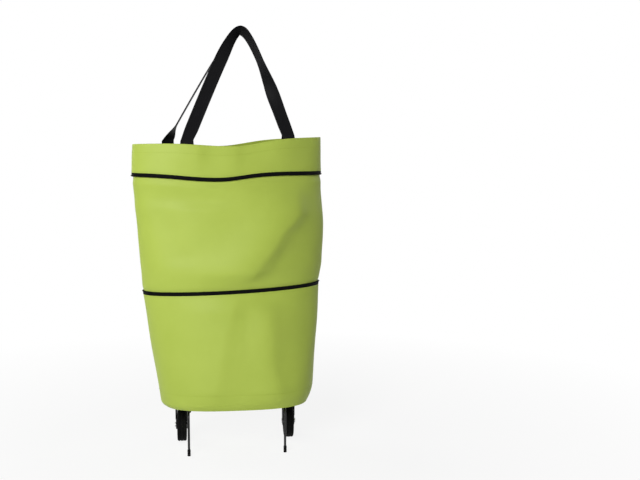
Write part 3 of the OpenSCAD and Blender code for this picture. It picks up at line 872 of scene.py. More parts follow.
@dataclass
class FabricShell:
    """The bag's three fabric walls, with lining, hems and stitches, the bottom panel and the zip's guard."""

    shape: BagShape
    wall: float = 1.1
    hem: float = 22
    hem_wall: float = 1.75
    tape_h: float = 8
    tape_t: float = 1.2
    behind: float = 4.5
    packed_h: float = 2.5
    guard_lift: float = 2
    guard_rise: float = 1.5
    guard_insets: Spot = (5.8, 7.8)
    seam_angle: float = math.pi
    columns: int = 320
    girth: float = 0.94
    panel_inset: float = 8.5
    panel_t: float = 1.6
    thread_out: float = 0.08

    def _ring(self, z: float, inset: float) -> Station:
        """One ring of the wall."""
        return lambda angle: self.shape.point(angle, z, inset)

    def _rings(self, places: Iterable[Spot], deeper: float = 0.0) -> list[Station]:
        """Rings of the wall, from pairs of height and inset."""
        return [self._ring(z, inset + deeper) for z, inset in places]

    def _level_rings(self, heights: Iterable[float], inset: float = 0.0) -> list[Station]:
        """Rings of the wall at one inset."""
        return [self._ring(z, inset) for z in heights]

    def _corner(self, share: float, inset: float) -> Station:
        """One ring of the rounded bottom edge."""
        return lambda angle: self.shape.corner(angle, share, inset)

    def _shell(self, name: str, outside: Sequence[Station], inside: Sequence[Station]) -> bpy.types.Object:
        """Lofts a closed wall.

        Args:
            name: the piece's name.
            outside: the outer face's rings.
            inside: the inner face's rings, in the opposite order.

        Returns:
            The piece.
        """
        rings = [*outside, *inside]
        count = len(rings)
        lengths = [0.0]
        for a, b in zip(rings, rings[1:] + rings[:1]):
            lengths.append(lengths[-1] + (b(-math.pi / 2) - a(-math.pi / 2)).length)
        work = Work()
        work.surface(self.columns, count,
                     lambda u, v: rings[round(v * count) % count](self.seam_angle + TAU * u),
                     lambda u, v: (u * self.girth, lengths[round(v * count)]),
                     lambda v: 0 if v * count < len(outside) - 0.5 else 1)
        return work.piece(name, [Finishes.FABRIC, Finishes.LINING], 50)

    def _steps(self, low: float, high: float, pace: float) -> list[float]:
        """Heights from low to high, about a pace apart."""
        count = max(1, round(abs(high - low) / pace))
        return [mix(low, high, k / count) for k in range(count + 1)]

    def _turned_in(self, zip_z: float, up: int, draw: float = 0.0, reach: float = 0.0) -> list[Spot]:
        """Heights and insets of an edge that turns in behind a zip tape, from the wall to the raw edge.

        Args:
            zip_z: the zip's height.
            up: 1 for an edge that turns in below the tape, -1 for one above it.
            draw: how far the zip draws the wall in.
            reach: the length of the wall that is drawn in.

        Returns:
            Pairs of height and inset.
        """
        edge = zip_z - up * self.tape_h / 2
        drawn = [(edge - up * reach * (1 - t), draw * smooth(t)) for t in (0.15, 0.3, 0.45, 0.6, 0.75, 0.88)]
        turned = [(edge - up * 0.35, draw), (edge, draw + 0.25), (edge + up * 0.3, draw + 0.7),
                  (edge + up * 0.5, draw + self.tape_t + 0.15),
                  (edge + up * self.behind, draw + self.tape_t + 0.2)]
        return (drawn if reach else []) + turned

    def lower_body(self) -> None:
        """Builds the lower body, from the base seam to the lower zip."""
        shape, wall = self.shape, self.wall
        shares = (0, 0.06, 0.14, 0.24, 0.36, 0.5, 0.66, 0.83, 1)
        low = shape.levels[0] + shape.corner_right + 6
        edge = self._turned_in(shape.levels[1], 1)
        high = edge[0][0] - 1.5
        outside = [self._corner(t, 0) for t in shares]
        outside += self._level_rings(self._steps(low, high, 5)) + self._rings(edge)
        inside = self._rings(reversed(edge), wall) + self._level_rings(self._steps(high, low, 8), wall)
        inside += [self._corner(t, wall) for t in reversed(shares)]
        piece = self._shell("lower_body_fabric", outside, inside)
        settle(piece, Body.BAG, "bag_fabric", "lower_body")

    def expansion(self) -> None:
        """Builds the section between the zips as it stands open; the real section packs away as the top comes
        down, which this piece does not do.
        """
        shape, wall = self.shape, self.wall
        low_edge = self._turned_in(shape.levels[1], -1, 1.5, 10)
        high_edge = self._turned_in(shape.levels[2], 1, 3.0, 18)
        levels = self._steps(low_edge[0][0] + 2, high_edge[0][0] - 2, 5)
        outside = self._rings(reversed(low_edge)) + self._level_rings(levels) + self._rings(high_edge)
        inside = self._rings(reversed(high_edge), wall)
        inside += self._level_rings(self._steps(levels[-1], levels[0], 8), wall) + self._rings(low_edge, wall)
        piece = self._shell("expansion_fabric", outside, inside)
        settle(piece, Body.BAG, "bag_fabric", "expansion_section")
        low_z, high_z = shape.levels[1] + self.tape_h / 2, shape.levels[2] - self.tape_h / 2
        right, left = shape.point(0, low_z), shape.point(math.pi, low_z)
        keep = self.packed_h / (high_z - low_z)
        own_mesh(piece)

    def zip_guard(self) -> None:
        """Builds the seam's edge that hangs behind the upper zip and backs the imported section."""
        shape = self.shape
        travel = frame["record"]["behaviour"]["joints"][0]["range_m"][1]
        low_z, zip_z = shape.levels[1] + self.tape_h / 2 + self.guard_lift, shape.levels[2]

        def hung(share: float, inset: float) -> Station:
            """A ring of the guard, from the zip at share 0 to the lower edge at 1.

            Args:
                share: the place down the guard.
                inset: how far the ring lies inside the guard's outer face.

            Returns:
                The ring.
            """
            def spot(angle: float) -> Vector:
                """The ring's point at an angle.

                Args:
                    angle: the angle round the bag, in radians.

                Returns:
                    The point, in metres.
                """
                top = shape.point(angle, zip_z + self.guard_rise, mix(*self.guard_insets, share) + inset)
                low = min(shape.point(angle, low_z).z + travel, top.z - self.guard_rise * MM)
                return Vector((top.x, top.y, mix(top.z, low, share)))
            return spot

        shares = (0, 0.25, 0.5, 0.75, 1)
        lip_z, lip_inset = zip_z + 2 * self.guard_rise, self.tape_t + self.wall + 0.3
        outside = [*(hung(t, 0) for t in reversed(shares)), self._ring(lip_z, lip_inset)]
        inside = [self._ring(lip_z, lip_inset + self.wall), *(hung(t, self.wall) for t in shares)]
        settle(self._shell("zip_guard_fabric", outside, inside), Body.TOP, "bag_fabric")

    def top_band(self) -> None:
        """Builds the band above the upper zip, with the hem folded inside its rim."""
        shape, wall, rim = self.shape, self.wall, self.shape.levels[3]
        edge = self._turned_in(shape.levels[2], -1)
        levels = self._steps(edge[0][0] + 1.5, rim - 2, 4)
        rounded = [(rim - 1.0, 0.05), (rim - 0.4, 0.25), (rim, 0.85)]
        folded = [(rim - 0.4, 1.5), (rim - 1.2, self.hem_wall)]
        hem_end = rim - self.hem
        outside = self._rings(reversed(edge)) + self._level_rings(levels) + self._rings(rounded)
        inside = self._rings(folded) + self._level_rings(self._steps(rim - 4, hem_end, 6), self.hem_wall)
        inside += self._level_rings(self._steps(hem_end - 0.4, levels[0], 6), wall) + self._rings(edge, wall)
        piece = self._shell("top_band_fabric", outside, inside)
        settle(piece, Body.TOP, "bag_fabric", "top_band")

    def bottom_panel(self) -> None:
        """Builds the bottom panel, a flat piece of fabric sewn into the lower body."""
        shape, base = self.shape, self.shape.levels[0]
        centre = Vector((shape.middles[0], 0, 0)) * MM
        profile = [(0.0, 0.0), (0.2, 0.0), (0.4, 0.0), (0.6, 0.0), (0.8, 0.0), (0.97, 0.0), (0.995, 0.25),
                   (1.0, 0.8), (0.995, self.panel_t - 0.25), (0.97, self.panel_t), (0.5, self.panel_t),
                   (0.0, self.panel_t)]
        count = len(profile) - 1

        def place(u: float, v: float) -> Vector:
            """A point of the panel.

            Args:
                u: the place round the panel, from 0 to 1.
                v: the place along its section, from 0 to 1.

            Returns:
                The point, in metres.
            """
            share, lift = profile[round(v * count)]
            edge = shape.point(self.seam_angle + TAU * u, base, self.panel_inset)
            middle = centre + Vector((0, 0, edge.z))
            return middle + (edge - middle) * share + Vector((0, 0, lift * MM))

        def chart(u: float, v: float) -> Spot:
            """The cloth lengths there: plain plan coordinates."""
            spot = place(u, v)
            return spot.x, spot.y

        work = Work()
        work.surface(self.columns // 2, count, place, chart)
        piece = work.piece("bottom_panel_fabric", [Finishes.FABRIC], 50)
        settle(piece, Body.BAG, "base_fabric", "bottom_panel")

    def _sewn(self, sewing: Stitching, z: float, inset: float) -> None:
        """Sews one row round the wall.

        Args:
            sewing: the piece of stitching that gets the row.
            z: the row's height.
            inset: how far it lies inside the wall's outer face; a negative inset lies outside it.
        """
        count = 360
        angles = [self.seam_angle + TAU * k / count for k in range(count + 1)]
        path = [self.shape.point(angle, z, inset) for angle in angles]
        sign = 1 if inset <= 0 else -1

        def outward(k: int) -> Vector:
            """The direction out of the wall."""
            way = path[k + 1] - path[k]
            return Vector((way.y, -way.x, 0)).normalized() * sign

        sewing.row(path, outward)

    def stitches(self) -> None:
        """Sews the rows beside the zips, in the hem and in the base seam."""
        base, lower, upper, rim = self.shape.levels
        beside, proud, hem = self.tape_h / 2 + 3.2, self.thread_out, rim - self.hem + 3
        base_row = base + self.shape.corner_right + 4
        for name, body, rows in (
                ("lower_stitches", Body.BAG, ((lower - beside, -proud), (base_row, -proud))),
                ("band_stitches", Body.TOP,
                 ((upper + beside, -proud), (hem, -proud), (hem, self.hem_wall + proud)))):
            sewing = Stitching(name, Finishes.THREAD)
            for z, inset in rows:
                self._sewn(sewing, z, inset)
            settle(sewing.piece(), body, "bag_fabric")

    def build(self) -> None:
        """Builds the fabric pieces."""
        self.lower_body()
        self.expansion()
        self.zip_guard()
        self.top_band()
        self.bottom_panel()
        self.stitches()


@dataclass
class ZipHalf:
    """One half of the separating zip: its tape and its coil."""

    shape: BagShape
    word: str
    zip_z: float
    body: Body
    coil_lift: float
    tape_h: float = 8
    tape_t: float = 1.2
    coil_r: float = 0.55
    wire_r: float = 0.27
    coil_out: float = 0.93
    turns: int = 560
    turn_steps: int = 8
    columns: int = 320
    girth: float = 0.94

    def tape(self) -> None:
        """Builds the woven tape, with soft edges and a raised cord beside the coil."""
        half, thick = self.tape_h / 2, self.tape_t
        profile = [(0.35, -half), (0.08, -half + 0.25), (0, -half + 0.7), (0, -0.6), (-0.05, 0), (0, 0.6),
                   (0, half - 0.7), (0.08, half - 0.25), (0.35, half), (thick - 0.35, half),
                   (thick, half - 0.4), (thick, -half + 0.4), (thick - 0.35, -half)]
        count = len(profile)

        def place(u: float, v: float) -> Vector:
            """A point of the tape."""
            inset, lift = profile[round(v * count) % count]
            return self.shape.point(math.pi + TAU * u, self.zip_z, inset, lift)

        work = Work()
        work.surface(self.columns, count, place,
                     lambda u, v: (u * self.girth, profile[round(v * count) % count][1] * MM))
        piece = work.piece(f"{self.word}_zip_tape_woven", [Finishes.TAPE], 60)
        settle(piece, self.body, "zip_tape", f"{self.word}_zip_tape")

    def coil(self) -> None:
        """Builds the coil, one long spiral of stiff thread along the tape."""
        count = self.turn_steps * self.turns
        path = []
        for k in range(count + 1):
            swing = TAU * k * self.turns / count
            inset = -self.coil_out - self.coil_r * math.cos(swing)
            lift = self.coil_lift + self.coil_r * math.sin(swing)
            path.append(self.shape.point(math.pi + TAU * k / count, self.zip_z, inset, lift))
        work = Work()
        work.sweep(path, self.wire_r * MM, 5)
        piece = work.piece(f"{self.word}_zip_coil_spiral", [Finishes.COIL], 180)
        settle(piece, self.body, "zip_coil", f"{self.word}_zip_coil")

    def build(self) -> None:
        """Builds the half."""
        self.tape()
        self.coil()


@dataclass
class ZipHardware:
    """The slider, pull, box and pin at the middle of the back."""

    shape: BagShape
    coil_lift: float = 2.4
    coil_gap: float = 0.1
    tape_h: float = 8
    coil_w: float = 1.6
    slider_l: float = 12
    room: float = 0.6
    skin: float = 1.2
    inward: float = 0.4
    pin_d: float = 2
    play: float = 0.4
    lug_t: float = 1.4
    pull_w: float = 6
    pull_l: float = 24
    pull_t: float = 1.6
    gap: float = 0.3
    running: float = 0.05
    slider_angle: float = 90
    box_angle: float = 76
    pin_angle: float = 104
    block_half: float = 4.5
    block_t: float = 2.4
    rib_pitch: float = 2.6
    rib_half: float = 0.4

    @property
    def out(self) -> float:
        """How far the slider's back plate stands out of the wall."""
        return self.coil_gap + self.coil_w + self.room + self.skin

    @property
    def eye(self) -> float:
        """The radius of the pull's eye."""
        return self.pin_d / 2 + self.running + 1.4

    @property
    def pin_y(self) -> float:
        """The distance of the pull's pin from the wall."""
        return self.out + self.eye + self.gap

    @property
    def at_slider(self) -> Matrix:
        """The slider's place on the lower zip."""
        return self.at_zip(self.shape.levels[1], self.slider_angle, self.coil_lift)

    def at_zip(self, zip_z: float, degrees: float, lift: float) -> Matrix:
        """The place on a zip: X runs along it, Y out of the bag.

        Args:
            zip_z: the zip's height.
            degrees: the angle round the bag.
            lift: a distance straight up.

        Returns:
            The place's matrix, in metres.
        """
        angle = math.radians(degrees)
        way = -self.shape.along_wall(angle, zip_z)
        out = Vector((-way.y, way.x, 0)).normalized()
        turn = Matrix((way, out, way.cross(out))).transposed().to_4x4()
        return Matrix.Translation(self.shape.point(angle, zip_z, 0, lift)) @ turn

    def _bars(self, work: Work, bars: Iterable[tuple[Sequence[float], Sequence[float], float]]) -> None:
        """Adds bars from their corners and edge radii, in millimetres."""
        for low, high, bevel in bars:
            work.bar(Vector(low) * MM, Vector(high) * MM, bevel * MM)

    def slider(self) -> None:
        """Builds the slider: a back plate, two flanges round the coil, and the lugs of the pull's pin."""
        half_l, out, eye = self.slider_l / 2, self.out, self.eye
        half_h = self.coil_w / 2 + self.room + self.skin
        channel = half_h - self.skin
        lug = self.pull_w / 2 + self.play
        work = Work()
        self._bars(work, [
            ((-half_l, out - self.skin, -half_h), (half_l, out, half_h), 0.5),
            ((-half_l + 0.6, self.inward, channel), (half_l - 0.6, out - 0.2, half_h), 0.4),
            ((-half_l + 0.6, self.inward, -half_h), (half_l - 0.6, out - 0.2, -channel), 0.4),
            ((-lug - self.lug_t, out - 0.3, -eye), (-lug, self.pin_y + eye, eye), 0.6),
            ((lug, out - 0.3, -eye), (lug + self.lug_t, self.pin_y + eye, eye), 0.6)])
        reach = lug + self.lug_t - 0.1
        ends = [Vector((x, self.pin_y, 0)) * MM for x in (-reach, reach)]
        work.sweep([mix(*ends, t / 6) for t in range(7)], self.pin_d / 2 * MM, 20)
        work.bm.transform(self.at_slider)
        piece = work.piece("zip_slider_cast", [Finishes.SLIDER])
        settle(piece, Body.SLIDER, "zip_metal", "zip_slider")

    def pull(self) -> None:
        """Builds the pull: an eye round the pin and a tongue with grip ribs."""
        half, thick = self.pull_w / 2, self.pull_t
        section = ring_section(self.pin_d / 2 + self.running, self.eye, self.pull_w, 0.35)
        work = Work()
        work.lathe(section, Vector((-half * MM, 0, 0)), Vector((1, 0, 0)), 32)
        turn = Matrix.Rotation(math.pi / 2, 4, "X")
        tongue = Matrix.Translation(Vector((0, thick / 2, -self.pull_l)) * MM) @ turn
        work.plate(half * MM, (self.pull_l - self.eye + 0.4) * MM, thick * MM, 0.45 * MM, tongue)
        for k in range(5):
            z = -self.pull_l + 1 + 2.4 * k
            for side in (-1, 1):
                work.bar(Vector((-half + 1.1, side * (thick / 2 - 0.2), z)) * MM,
                         Vector((half - 1.1, side * (thick / 2 + 0.22), z + 0.9)) * MM, 0.18 * MM, 2)
        work.bm.transform(self.at_slider @ Matrix.Translation(Vector((0, self.pin_y, 0)) * MM))
        settle(work.piece("zip_pull_tongue", [Finishes.PLASTIC]), Body.PULL, "zip_metal", "zip_pull")

    def end(self, word: str, zip_z: float, degrees: float, lift: float, high: float, body: Body) -> None:
        """Builds the box or the pin where the zip's halves meet.

        Args:
            word: the node's name.
            zip_z: the zip's height.
            degrees: the angle round the bag.
            lift: a distance straight up.
            high: the block's height.
            body: the body that it rides on.
        """
        work = Work()
        half_h, out, rib = high / 2, self.coil_gap + self.block_t, self.rib_half
        bars = [((-self.block_half, self.coil_gap, -half_h), (self.block_half, out, half_h), 0.5)]
        for k in (-1, 0, 1):
            x = self.rib_pitch * k
            low = (x - rib, out - rib / 2, rib - half_h)
            bars.append((low, (x + rib, out + rib / 2, half_h - rib), 0.15))
        self._bars(work, bars)
        work.bm.transform(self.at_zip(zip_z, degrees, lift))
        settle(work.piece(f"{word}_moulded", [Finishes.PLASTIC]), body, "black_plastic", word)

    def build(self) -> None:
        """Builds the hardware."""
        self.slider()
        self.pull()
        high = self.tape_h - 2 * self.coil_w - 0.6
        self.end("zip_box", self.shape.levels[1], self.box_angle, -self.coil_w, high, Body.BAG)
        self.end("zip_pin", self.shape.levels[2], self.pin_angle, self.coil_w, high / 2, Body.TOP)


@dataclass
class Handle:
    """A webbing handle: one strip, sewn inside the rim at both ends."""

    shape: BagShape
    face: Face
    body: Body
    span: float
    shift: float
    top: Spot
    high: float
    twists: tuple[tuple[float, float, float], tuple[float, float, float]]
    width: float = 27
    thickness: float = 1.8
    inset: float = 2.8
    tail_l: float = 48
    hinge_lift: float = 7
    top_round: float = 62
    top_blend: float = 0.25
    level_off: float = 0.15
    loop_rings: int = 180
    tail_steps: int = 12
    bend_half: float = 5.5
    box_half: float = 9.5
    box_foot: float = 43
    box_head: float = 8

    @property
    def word(self) -> str:
        """The handle's name as node names spell it."""
        return self.face.name.lower()

    def leg_angle(self, side: int) -> float:
        """The angle round the mouth where a leg leaves the rim."""
        reach = self.shape.widths[3] / 2 - self.inset
        return self.face.value * math.acos((self.shift + side * self.span / 2) / reach)

    def hinge(self, side: int) -> Vector:
        """The point where a leg bends, just above the rim."""
        plain = BagShape(folds=())
        return plain.point(self.leg_angle(side), plain.levels[3], self.inset, self.hinge_lift)

    def _climb(self, v: float) -> tuple[float, float]:
        """A loop place's reach across, from -1 to 1, and its height above the hinge.

        Args:
            v: the place along the loop, from -1 to 1.

        Returns:
            The reach and the height in metres.
        """
        reach = squared(v, 1.25)
        high, bend = self.high * MM, self.top_round * MM
        steep = math.sqrt((high + bend) ** 2 - bend ** 2)
        return reach, high + bend - math.hypot(steep * reach, bend)

    def _stand(self) -> tuple[Vector, Vector, Vector]:
        """Where the loop stands.

        Returns:
            The middle between the hinges, and the ways from there to the right hinge and to the loop's top.
        """
        left, right = self.hinge(-1), self.hinge(1)
        foot = (left + right) / 2
        rise = Vector((self.top[0] * MM - foot.x, self.top[1] * MM - foot.y, self.high * MM))
        return foot, (right - left) / 2, rise

    def _loop_point(self, v: float) -> Vector:
        """A point of the loop's middle line.

        Args:
            v: the place along the loop, from -1 to 1.

        Returns:
            The point, in metres.
        """
        foot, across, rise = self._stand()
        reach, climb = self._climb(v)
        return foot + across * reach + rise * (climb / rise.z)

    def _twist(self, v: float, share: float) -> float:
        """The webbing's twist at a place of the loop, in radians."""
        legs = [most * smooth((share - start) / (end - start)) for most, start, end in self.twists]
        return math.radians(mix(*legs, smooth((v + self.top_blend) / (2 * self.top_blend))))

    def _loop_way(self, v: float) -> Vector:
        """The direction across the webbing.

        Args:
            v: the place along the loop, from -1 to 1.

        Returns:
            The direction.
        """
        _, across, rise = self._stand()
        along = (self._loop_point(v + NEAR) - self._loop_point(v - NEAR)).normalized()
        rim_way = across.normalized()
        facing = rim_way.cross(rise).normalized()
        share = self._climb(v)[1] / rise.z
        flat = along.cross(-facing)
        leg_way = mix(rim_way * math.copysign(1, v), flat, smooth(share / self.level_off)).normalized()
        angle = self._twist(v, share)
        return (leg_way * math.cos(angle) + facing * math.sin(angle)).normalized()

    def _stations(self) -> list[tuple[Vector, Vector]]:
        """The webbing's middle line and its direction across, from one tail's end to the other's.

        Returns:
            Pairs of point and direction.
        """
        tails = {}
        for side in (-1, 1):
            angle = self.leg_angle(side)
            rows = []
            for k in range(self.tail_steps + 1):
                z = self.shape.levels[3] - self.tail_l * (1 - k / self.tail_steps)
                way = self.shape.along_wall(angle, z, self.inset) * -self.face.value * side
                rows.append((self.shape.point(angle, z, self.inset), way))
            tails[side] = rows
        count = self.loop_rings
        loop = [2 * k / count - 1 for k in range(count + 1)]
        stations = tails[-1] + [(self._loop_point(v), self._loop_way(v)) for v in loop]
        return stations + tails[1][::-1]

    def webbing(self) -> None:
        """Builds the webbing: a flat strip with rounded edges and a thick woven border."""
        stations = self._stations()
        last = len(stations) - 1
        points = [spot for spot, _ in stations]
        lengths = [0.0]
        for a, b in zip(points, points[1:]):
            lengths.append(lengths[-1] + (b - a).length)
        half_w, half_t = self.width / 2, self.thickness / 2
        border = [(-half_w + 0.3, 0.6), (-half_w + 0.9, 0.92), (-half_w + 2.2, 1.0), (-half_w + 2.8, 0.82),
                  (-half_w / 2, 0.85)]
        side = [*border, (0.0, 0.85), *((-x, t) for x, t in reversed(border))]
        section = [(-half_w, 0.0), *((x, -t * half_t) for x, t in side), (half_w, 0.0),
                   *((x, t * half_t) for x, t in reversed(side))]
        count = len(section)

        def place(u: float, v: float) -> Vector:
            """A point of the webbing's skin.

            Args:
                u: the place round the section, from 0 to 1.
                v: the place along the strip, from 0 to 1.

            Returns:
                The point, in metres.
            """
            k = round(v * last)
            x, t = section[round(u * count) % count]
            spot, wide = stations[k]
            along = points[min(last, k + 1)] - points[max(0, k - 1)]
            thick = along.cross(wide).normalized()
            return spot + (wide * x + thick * t) * MM

        def chart(u: float, v: float) -> Spot:
            """The cloth lengths there."""
            return lengths[round(v * last)], section[round(u * count) % count][0] * MM

        work = Work()
        work.close(work.surface(count, last, place, chart))
        obj = work.piece(f"{self.word}_webbing", [Finishes.WEBBING], 60)
        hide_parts(f"{self.word}_handle", f"{self.word}_handle_tails")
        middle, across, _ = self._stand()
        axis, up = across.normalized(), Vector((0, 0, 1))
        up = (up - axis * up.dot(axis)).normalized() * self.bend_half * MM
        tuple(middle - up)
        tuple(middle + up)
        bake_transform(obj)

    def stitches(self) -> None:
        """Sews each tail with a box and its cross."""
        sewing = Stitching(f"{self.word}_tail_stitches", Finishes.DARK_THREAD, 2.6, 3.3, 0.35)
        rim = self.shape.levels[3]
        inset = self.inset + self.thickness / 2 + 0.05
        for side in (-1, 1):
            angle = self.leg_angle(side)
            wide = self.box_half * MM / self.shape.pace_along(angle, rim, inset).length
            foot, head = rim - self.box_foot, rim - self.box_head
            corners = [(-wide, foot), (wide, foot), (wide, head), (-wide, head), (-wide, foot), (wide, head),
                       (-wide, head), (wide, foot)]
            inward = self.shape.along_wall(angle, rim).cross(Vector((0, 0, -1)))
            for (a, low), (b, high) in zip(corners, corners[1:]):
                shares = [k / self.tail_steps for k in range(self.tail_steps + 1)]
                path = [self.shape.point(angle + mix(a, b, t), mix(low, high, t), inset) for t in shares]
                sewing.row(path, lambda k: inward)
        settle(sewing.piece(), Body.TOP, "webbing")

    def build(self) -> None:
        """Builds the handle."""
        self.webbing()
        self.stitches()


@dataclass
class LegUnit:
    """A folding leg: the wire with its foot cap, the fork, and the wheel."""

    side: Side
    lean: float = 10
    pivot_x: float = 101
    pivot_z: float = 92
    base_z: float = 106
    wire_d: float = 5
    foot_y: float = 52
    wheel_y: float = 58
    wheel_d: float = 72
    wheel_w: float = 20
    wheel_offset: float = 16.5
    arm_t: float = 2.4
    axle_d: float = 6
    tyre_t: float = 8
    fork_l: float = 24
    bend_r: float = 15
    cap_h: float = 14
    side_gap: float = 0.8
    gap: float = 0.3
    head_over: float = 3.5
    head_room: float = 8
    barrel_t: float = 4
    rib_pitch: float = 5.5
    arm_over: float = 7
    core_t: float = 5
    rim_t: float = 3
    web: float = 2
    spokes: int = 6
    tread_round: float = 3.5

    def _spot(self, x: float, y: float, z: float) -> Vector:
        """A point in metres; x runs from the pivot towards the outside of the bag."""
        return Vector((self.lean + self.side.value * (self.pivot_x + x), y, z)) * MM

    @property
    def _axle_z(self) -> float:
        """The axle's height."""
        return self.wheel_d / 2

    @property
    def _wheel(self) -> Vector:
        """The wheel's middle."""
        return self._spot(self.wheel_offset, self.wheel_y, self._axle_z)

    def _name(self, word: str) -> str:
        """A name with the leg's side."""
        return f"{self.side.word}_{word}"

    def _settle(self, work: Work, names: tuple[str, str, str, str], finish: Finish,
                angle: float = 40.0) -> None:
        """Turns a mesh into a piece, with the names of the piece, its body, its slot and its node."""
        name, body, slot, node = names
        settle(work.piece(self._name(name), [finish], angle), self._name(body), slot, self._name(node))

    def wire(self) -> None:
        """Builds the wire: its pivot length, one bend and the leg."""
        bend_y, bend_z = self.bend_r - self.foot_y, self.pivot_z - self.bend_r
        end_y = self.wheel_y + self.fork_l / 2 + 1
        path = [self._spot(0, mix(end_y, bend_y, k / 12), self.pivot_z) for k in range(12)]
        for k in range(17):
            turn = math.pi / 2 * k / 16
            path.append(self._spot(0, bend_y - self.bend_r * math.sin(turn),
                                   bend_z + self.bend_r * math.cos(turn)))
        path += [self._spot(0, -self.foot_y, mix(bend_z, 3, k / 12)) for k in range(1, 13)]
        work = Work()
        work.sweep(path, self.wire_d / 2 * MM, 20)
        self._settle(work, ("leg_wire", "leg", "leg_wire", "leg_rod"), Finishes.WIRE)

    def foot_cap(self) -> None:
        """Builds the rubber cap on the leg's foot, with two grip rings."""
        outer, bore, high = self.wire_d / 2 + 0.9, self.wire_d / 2 + 0.02, self.cap_h
        profile = [(0.01, 0), (outer - 0.7, 0), (outer - 0.2, 0.2), (outer, 0.7), (outer, 3.2),
                   (outer - 0.3, 3.6), (outer - 0.3, 4.4), (outer, 4.8), (outer, 6.6), (outer - 0.3, 7.0),
                   (outer - 0.3, 7.8), (outer, 8.2), (outer - 0.05, high - 1), (outer - 0.2, high - 0.3),
                   (outer - 0.45, high), (bore + 0.2, high), (bore, high - 0.3), (bore, 3), (0.01, 3)]
        work = Work()
        work.lathe(profile, self._spot(0, -self.foot_y, 0), Vector((0, 0, 1)), 40)
        self._settle(work, ("foot_rubber", "leg", "foot_rubber", "foot_cap"), Finishes.RUBBER, 50)

    def fork(self) -> None:
        """Builds the fork: a head that bears on the base, a barrel on the wire, and two arms with ribs."""
        inner = self.wheel_offset - self.wheel_w / 2 - self.side_gap - self.arm_t
        outer = self.wheel_offset + self.wheel_w / 2 + self.side_gap
        head_x, head_low = outer + self.arm_t + self.head_over, self.wheel_d + self.head_room
        top = self.base_z - self.gap
        barrel, bore = self.wire_d / 2 + self.barrel_t, self.wire_d / 2 + 0.02
        low_y, high_y = self.wheel_y - self.fork_l / 2, self.wheel_y + self.fork_l / 2
        work = Work()
        clear = barrel - 0.8
        for low, high, bevel in (
                ((clear, low_y, head_low), (head_x, high_y, top), 1.6),
                ((0, low_y, self.pivot_z + barrel - 2.2), (clear + 2, high_y, top), 0.8),
                ((inner - 0.5, low_y + 1, head_low - 1),
                 (clear + 2, high_y - 1, self.pivot_z - barrel + 1), 0.4)):
            work.bar(self._spot(*low), self._spot(*high), bevel * MM)
        section = ring_section(bore, barrel, self.fork_l, 0.5)
        work.lathe(section, self._spot(0, low_y, self.pivot_z), Vector((0, 1, 0)), 48)
        self._arm(work, inner, head_low)
        self._arm(work, outer, head_low)
        face = outer + self.arm_t
        for k in (-1, 0, 1):
            y = self.wheel_y + self.rib_pitch * k
            work.bar(self._spot(face - 0.3, y - 0.6, self._axle_z + 13),
                     self._spot(face + 0.9, y + 0.6, head_low + 1), 0.4 * MM)
        self._settle(work, ("fork_moulded", "leg", "black_plastic", "fork"), Finishes.PLASTIC)

    def _arm(self, work: Work, x: float, head_low: float) -> None:
        """Adds one arm: a plate with a round end, bored for the axle.

        Args:
            work: the mesh that gets the arm.
            x: the arm's inner face.
            head_low: the height where the arm meets the head.
        """
        radius, bore = self.axle_d / 2 + self.arm_over, self.axle_d / 2 + 0.02
        sides = 48

        def edge(turn: float) -> Vector:
            """The arm's outline in its plane: a half disc below, a straight end above.

            Args:
                turn: the angle round the axle, in radians.

            Returns:
                The point, in millimetres from the axle.
            """
            c, s = math.cos(turn), math.sin(turn)
            if s <= 0:
                return Vector((radius * c, radius * s))
            reach = head_low + 1 - self._axle_z
            stretch = min(radius / max(abs(c), 1e-6), reach / s)
            return Vector((stretch * c, stretch * s))

        bevel, thick = 0.6, self.arm_t
        layers = [(0.0, 0.0, 0.0), (0.0, 1.0, bevel), (0.3, 1.0, bevel * 0.3), (bevel, 1.0, 0.0),
                  (thick - bevel, 1.0, 0.0), (thick - 0.3, 1.0, bevel * 0.3), (thick, 1.0, bevel),
                  (thick, 0.0, 0.0)]
        count = len(layers)

        def place(u: float, v: float) -> Vector:
            """A point of the arm's skin.

            Args:
                u: the place round the axle, from 0 to 1.
                v: the place round the section, from 0 to 1.

            Returns:
                The point, in metres.
            """
            depth, share, back = layers[round(v * count) % count]
            turn = TAU * u
            rim = edge(turn)
            rim = rim * (1 - back / rim.length)
            hole = Vector((math.cos(turn), math.sin(turn))) * bore
            spot = hole + (rim - hole) * share
            return self._spot(x + depth, self.wheel_y + spot.x, self._axle_z + spot.y)

        work.surface(sides, count, place)

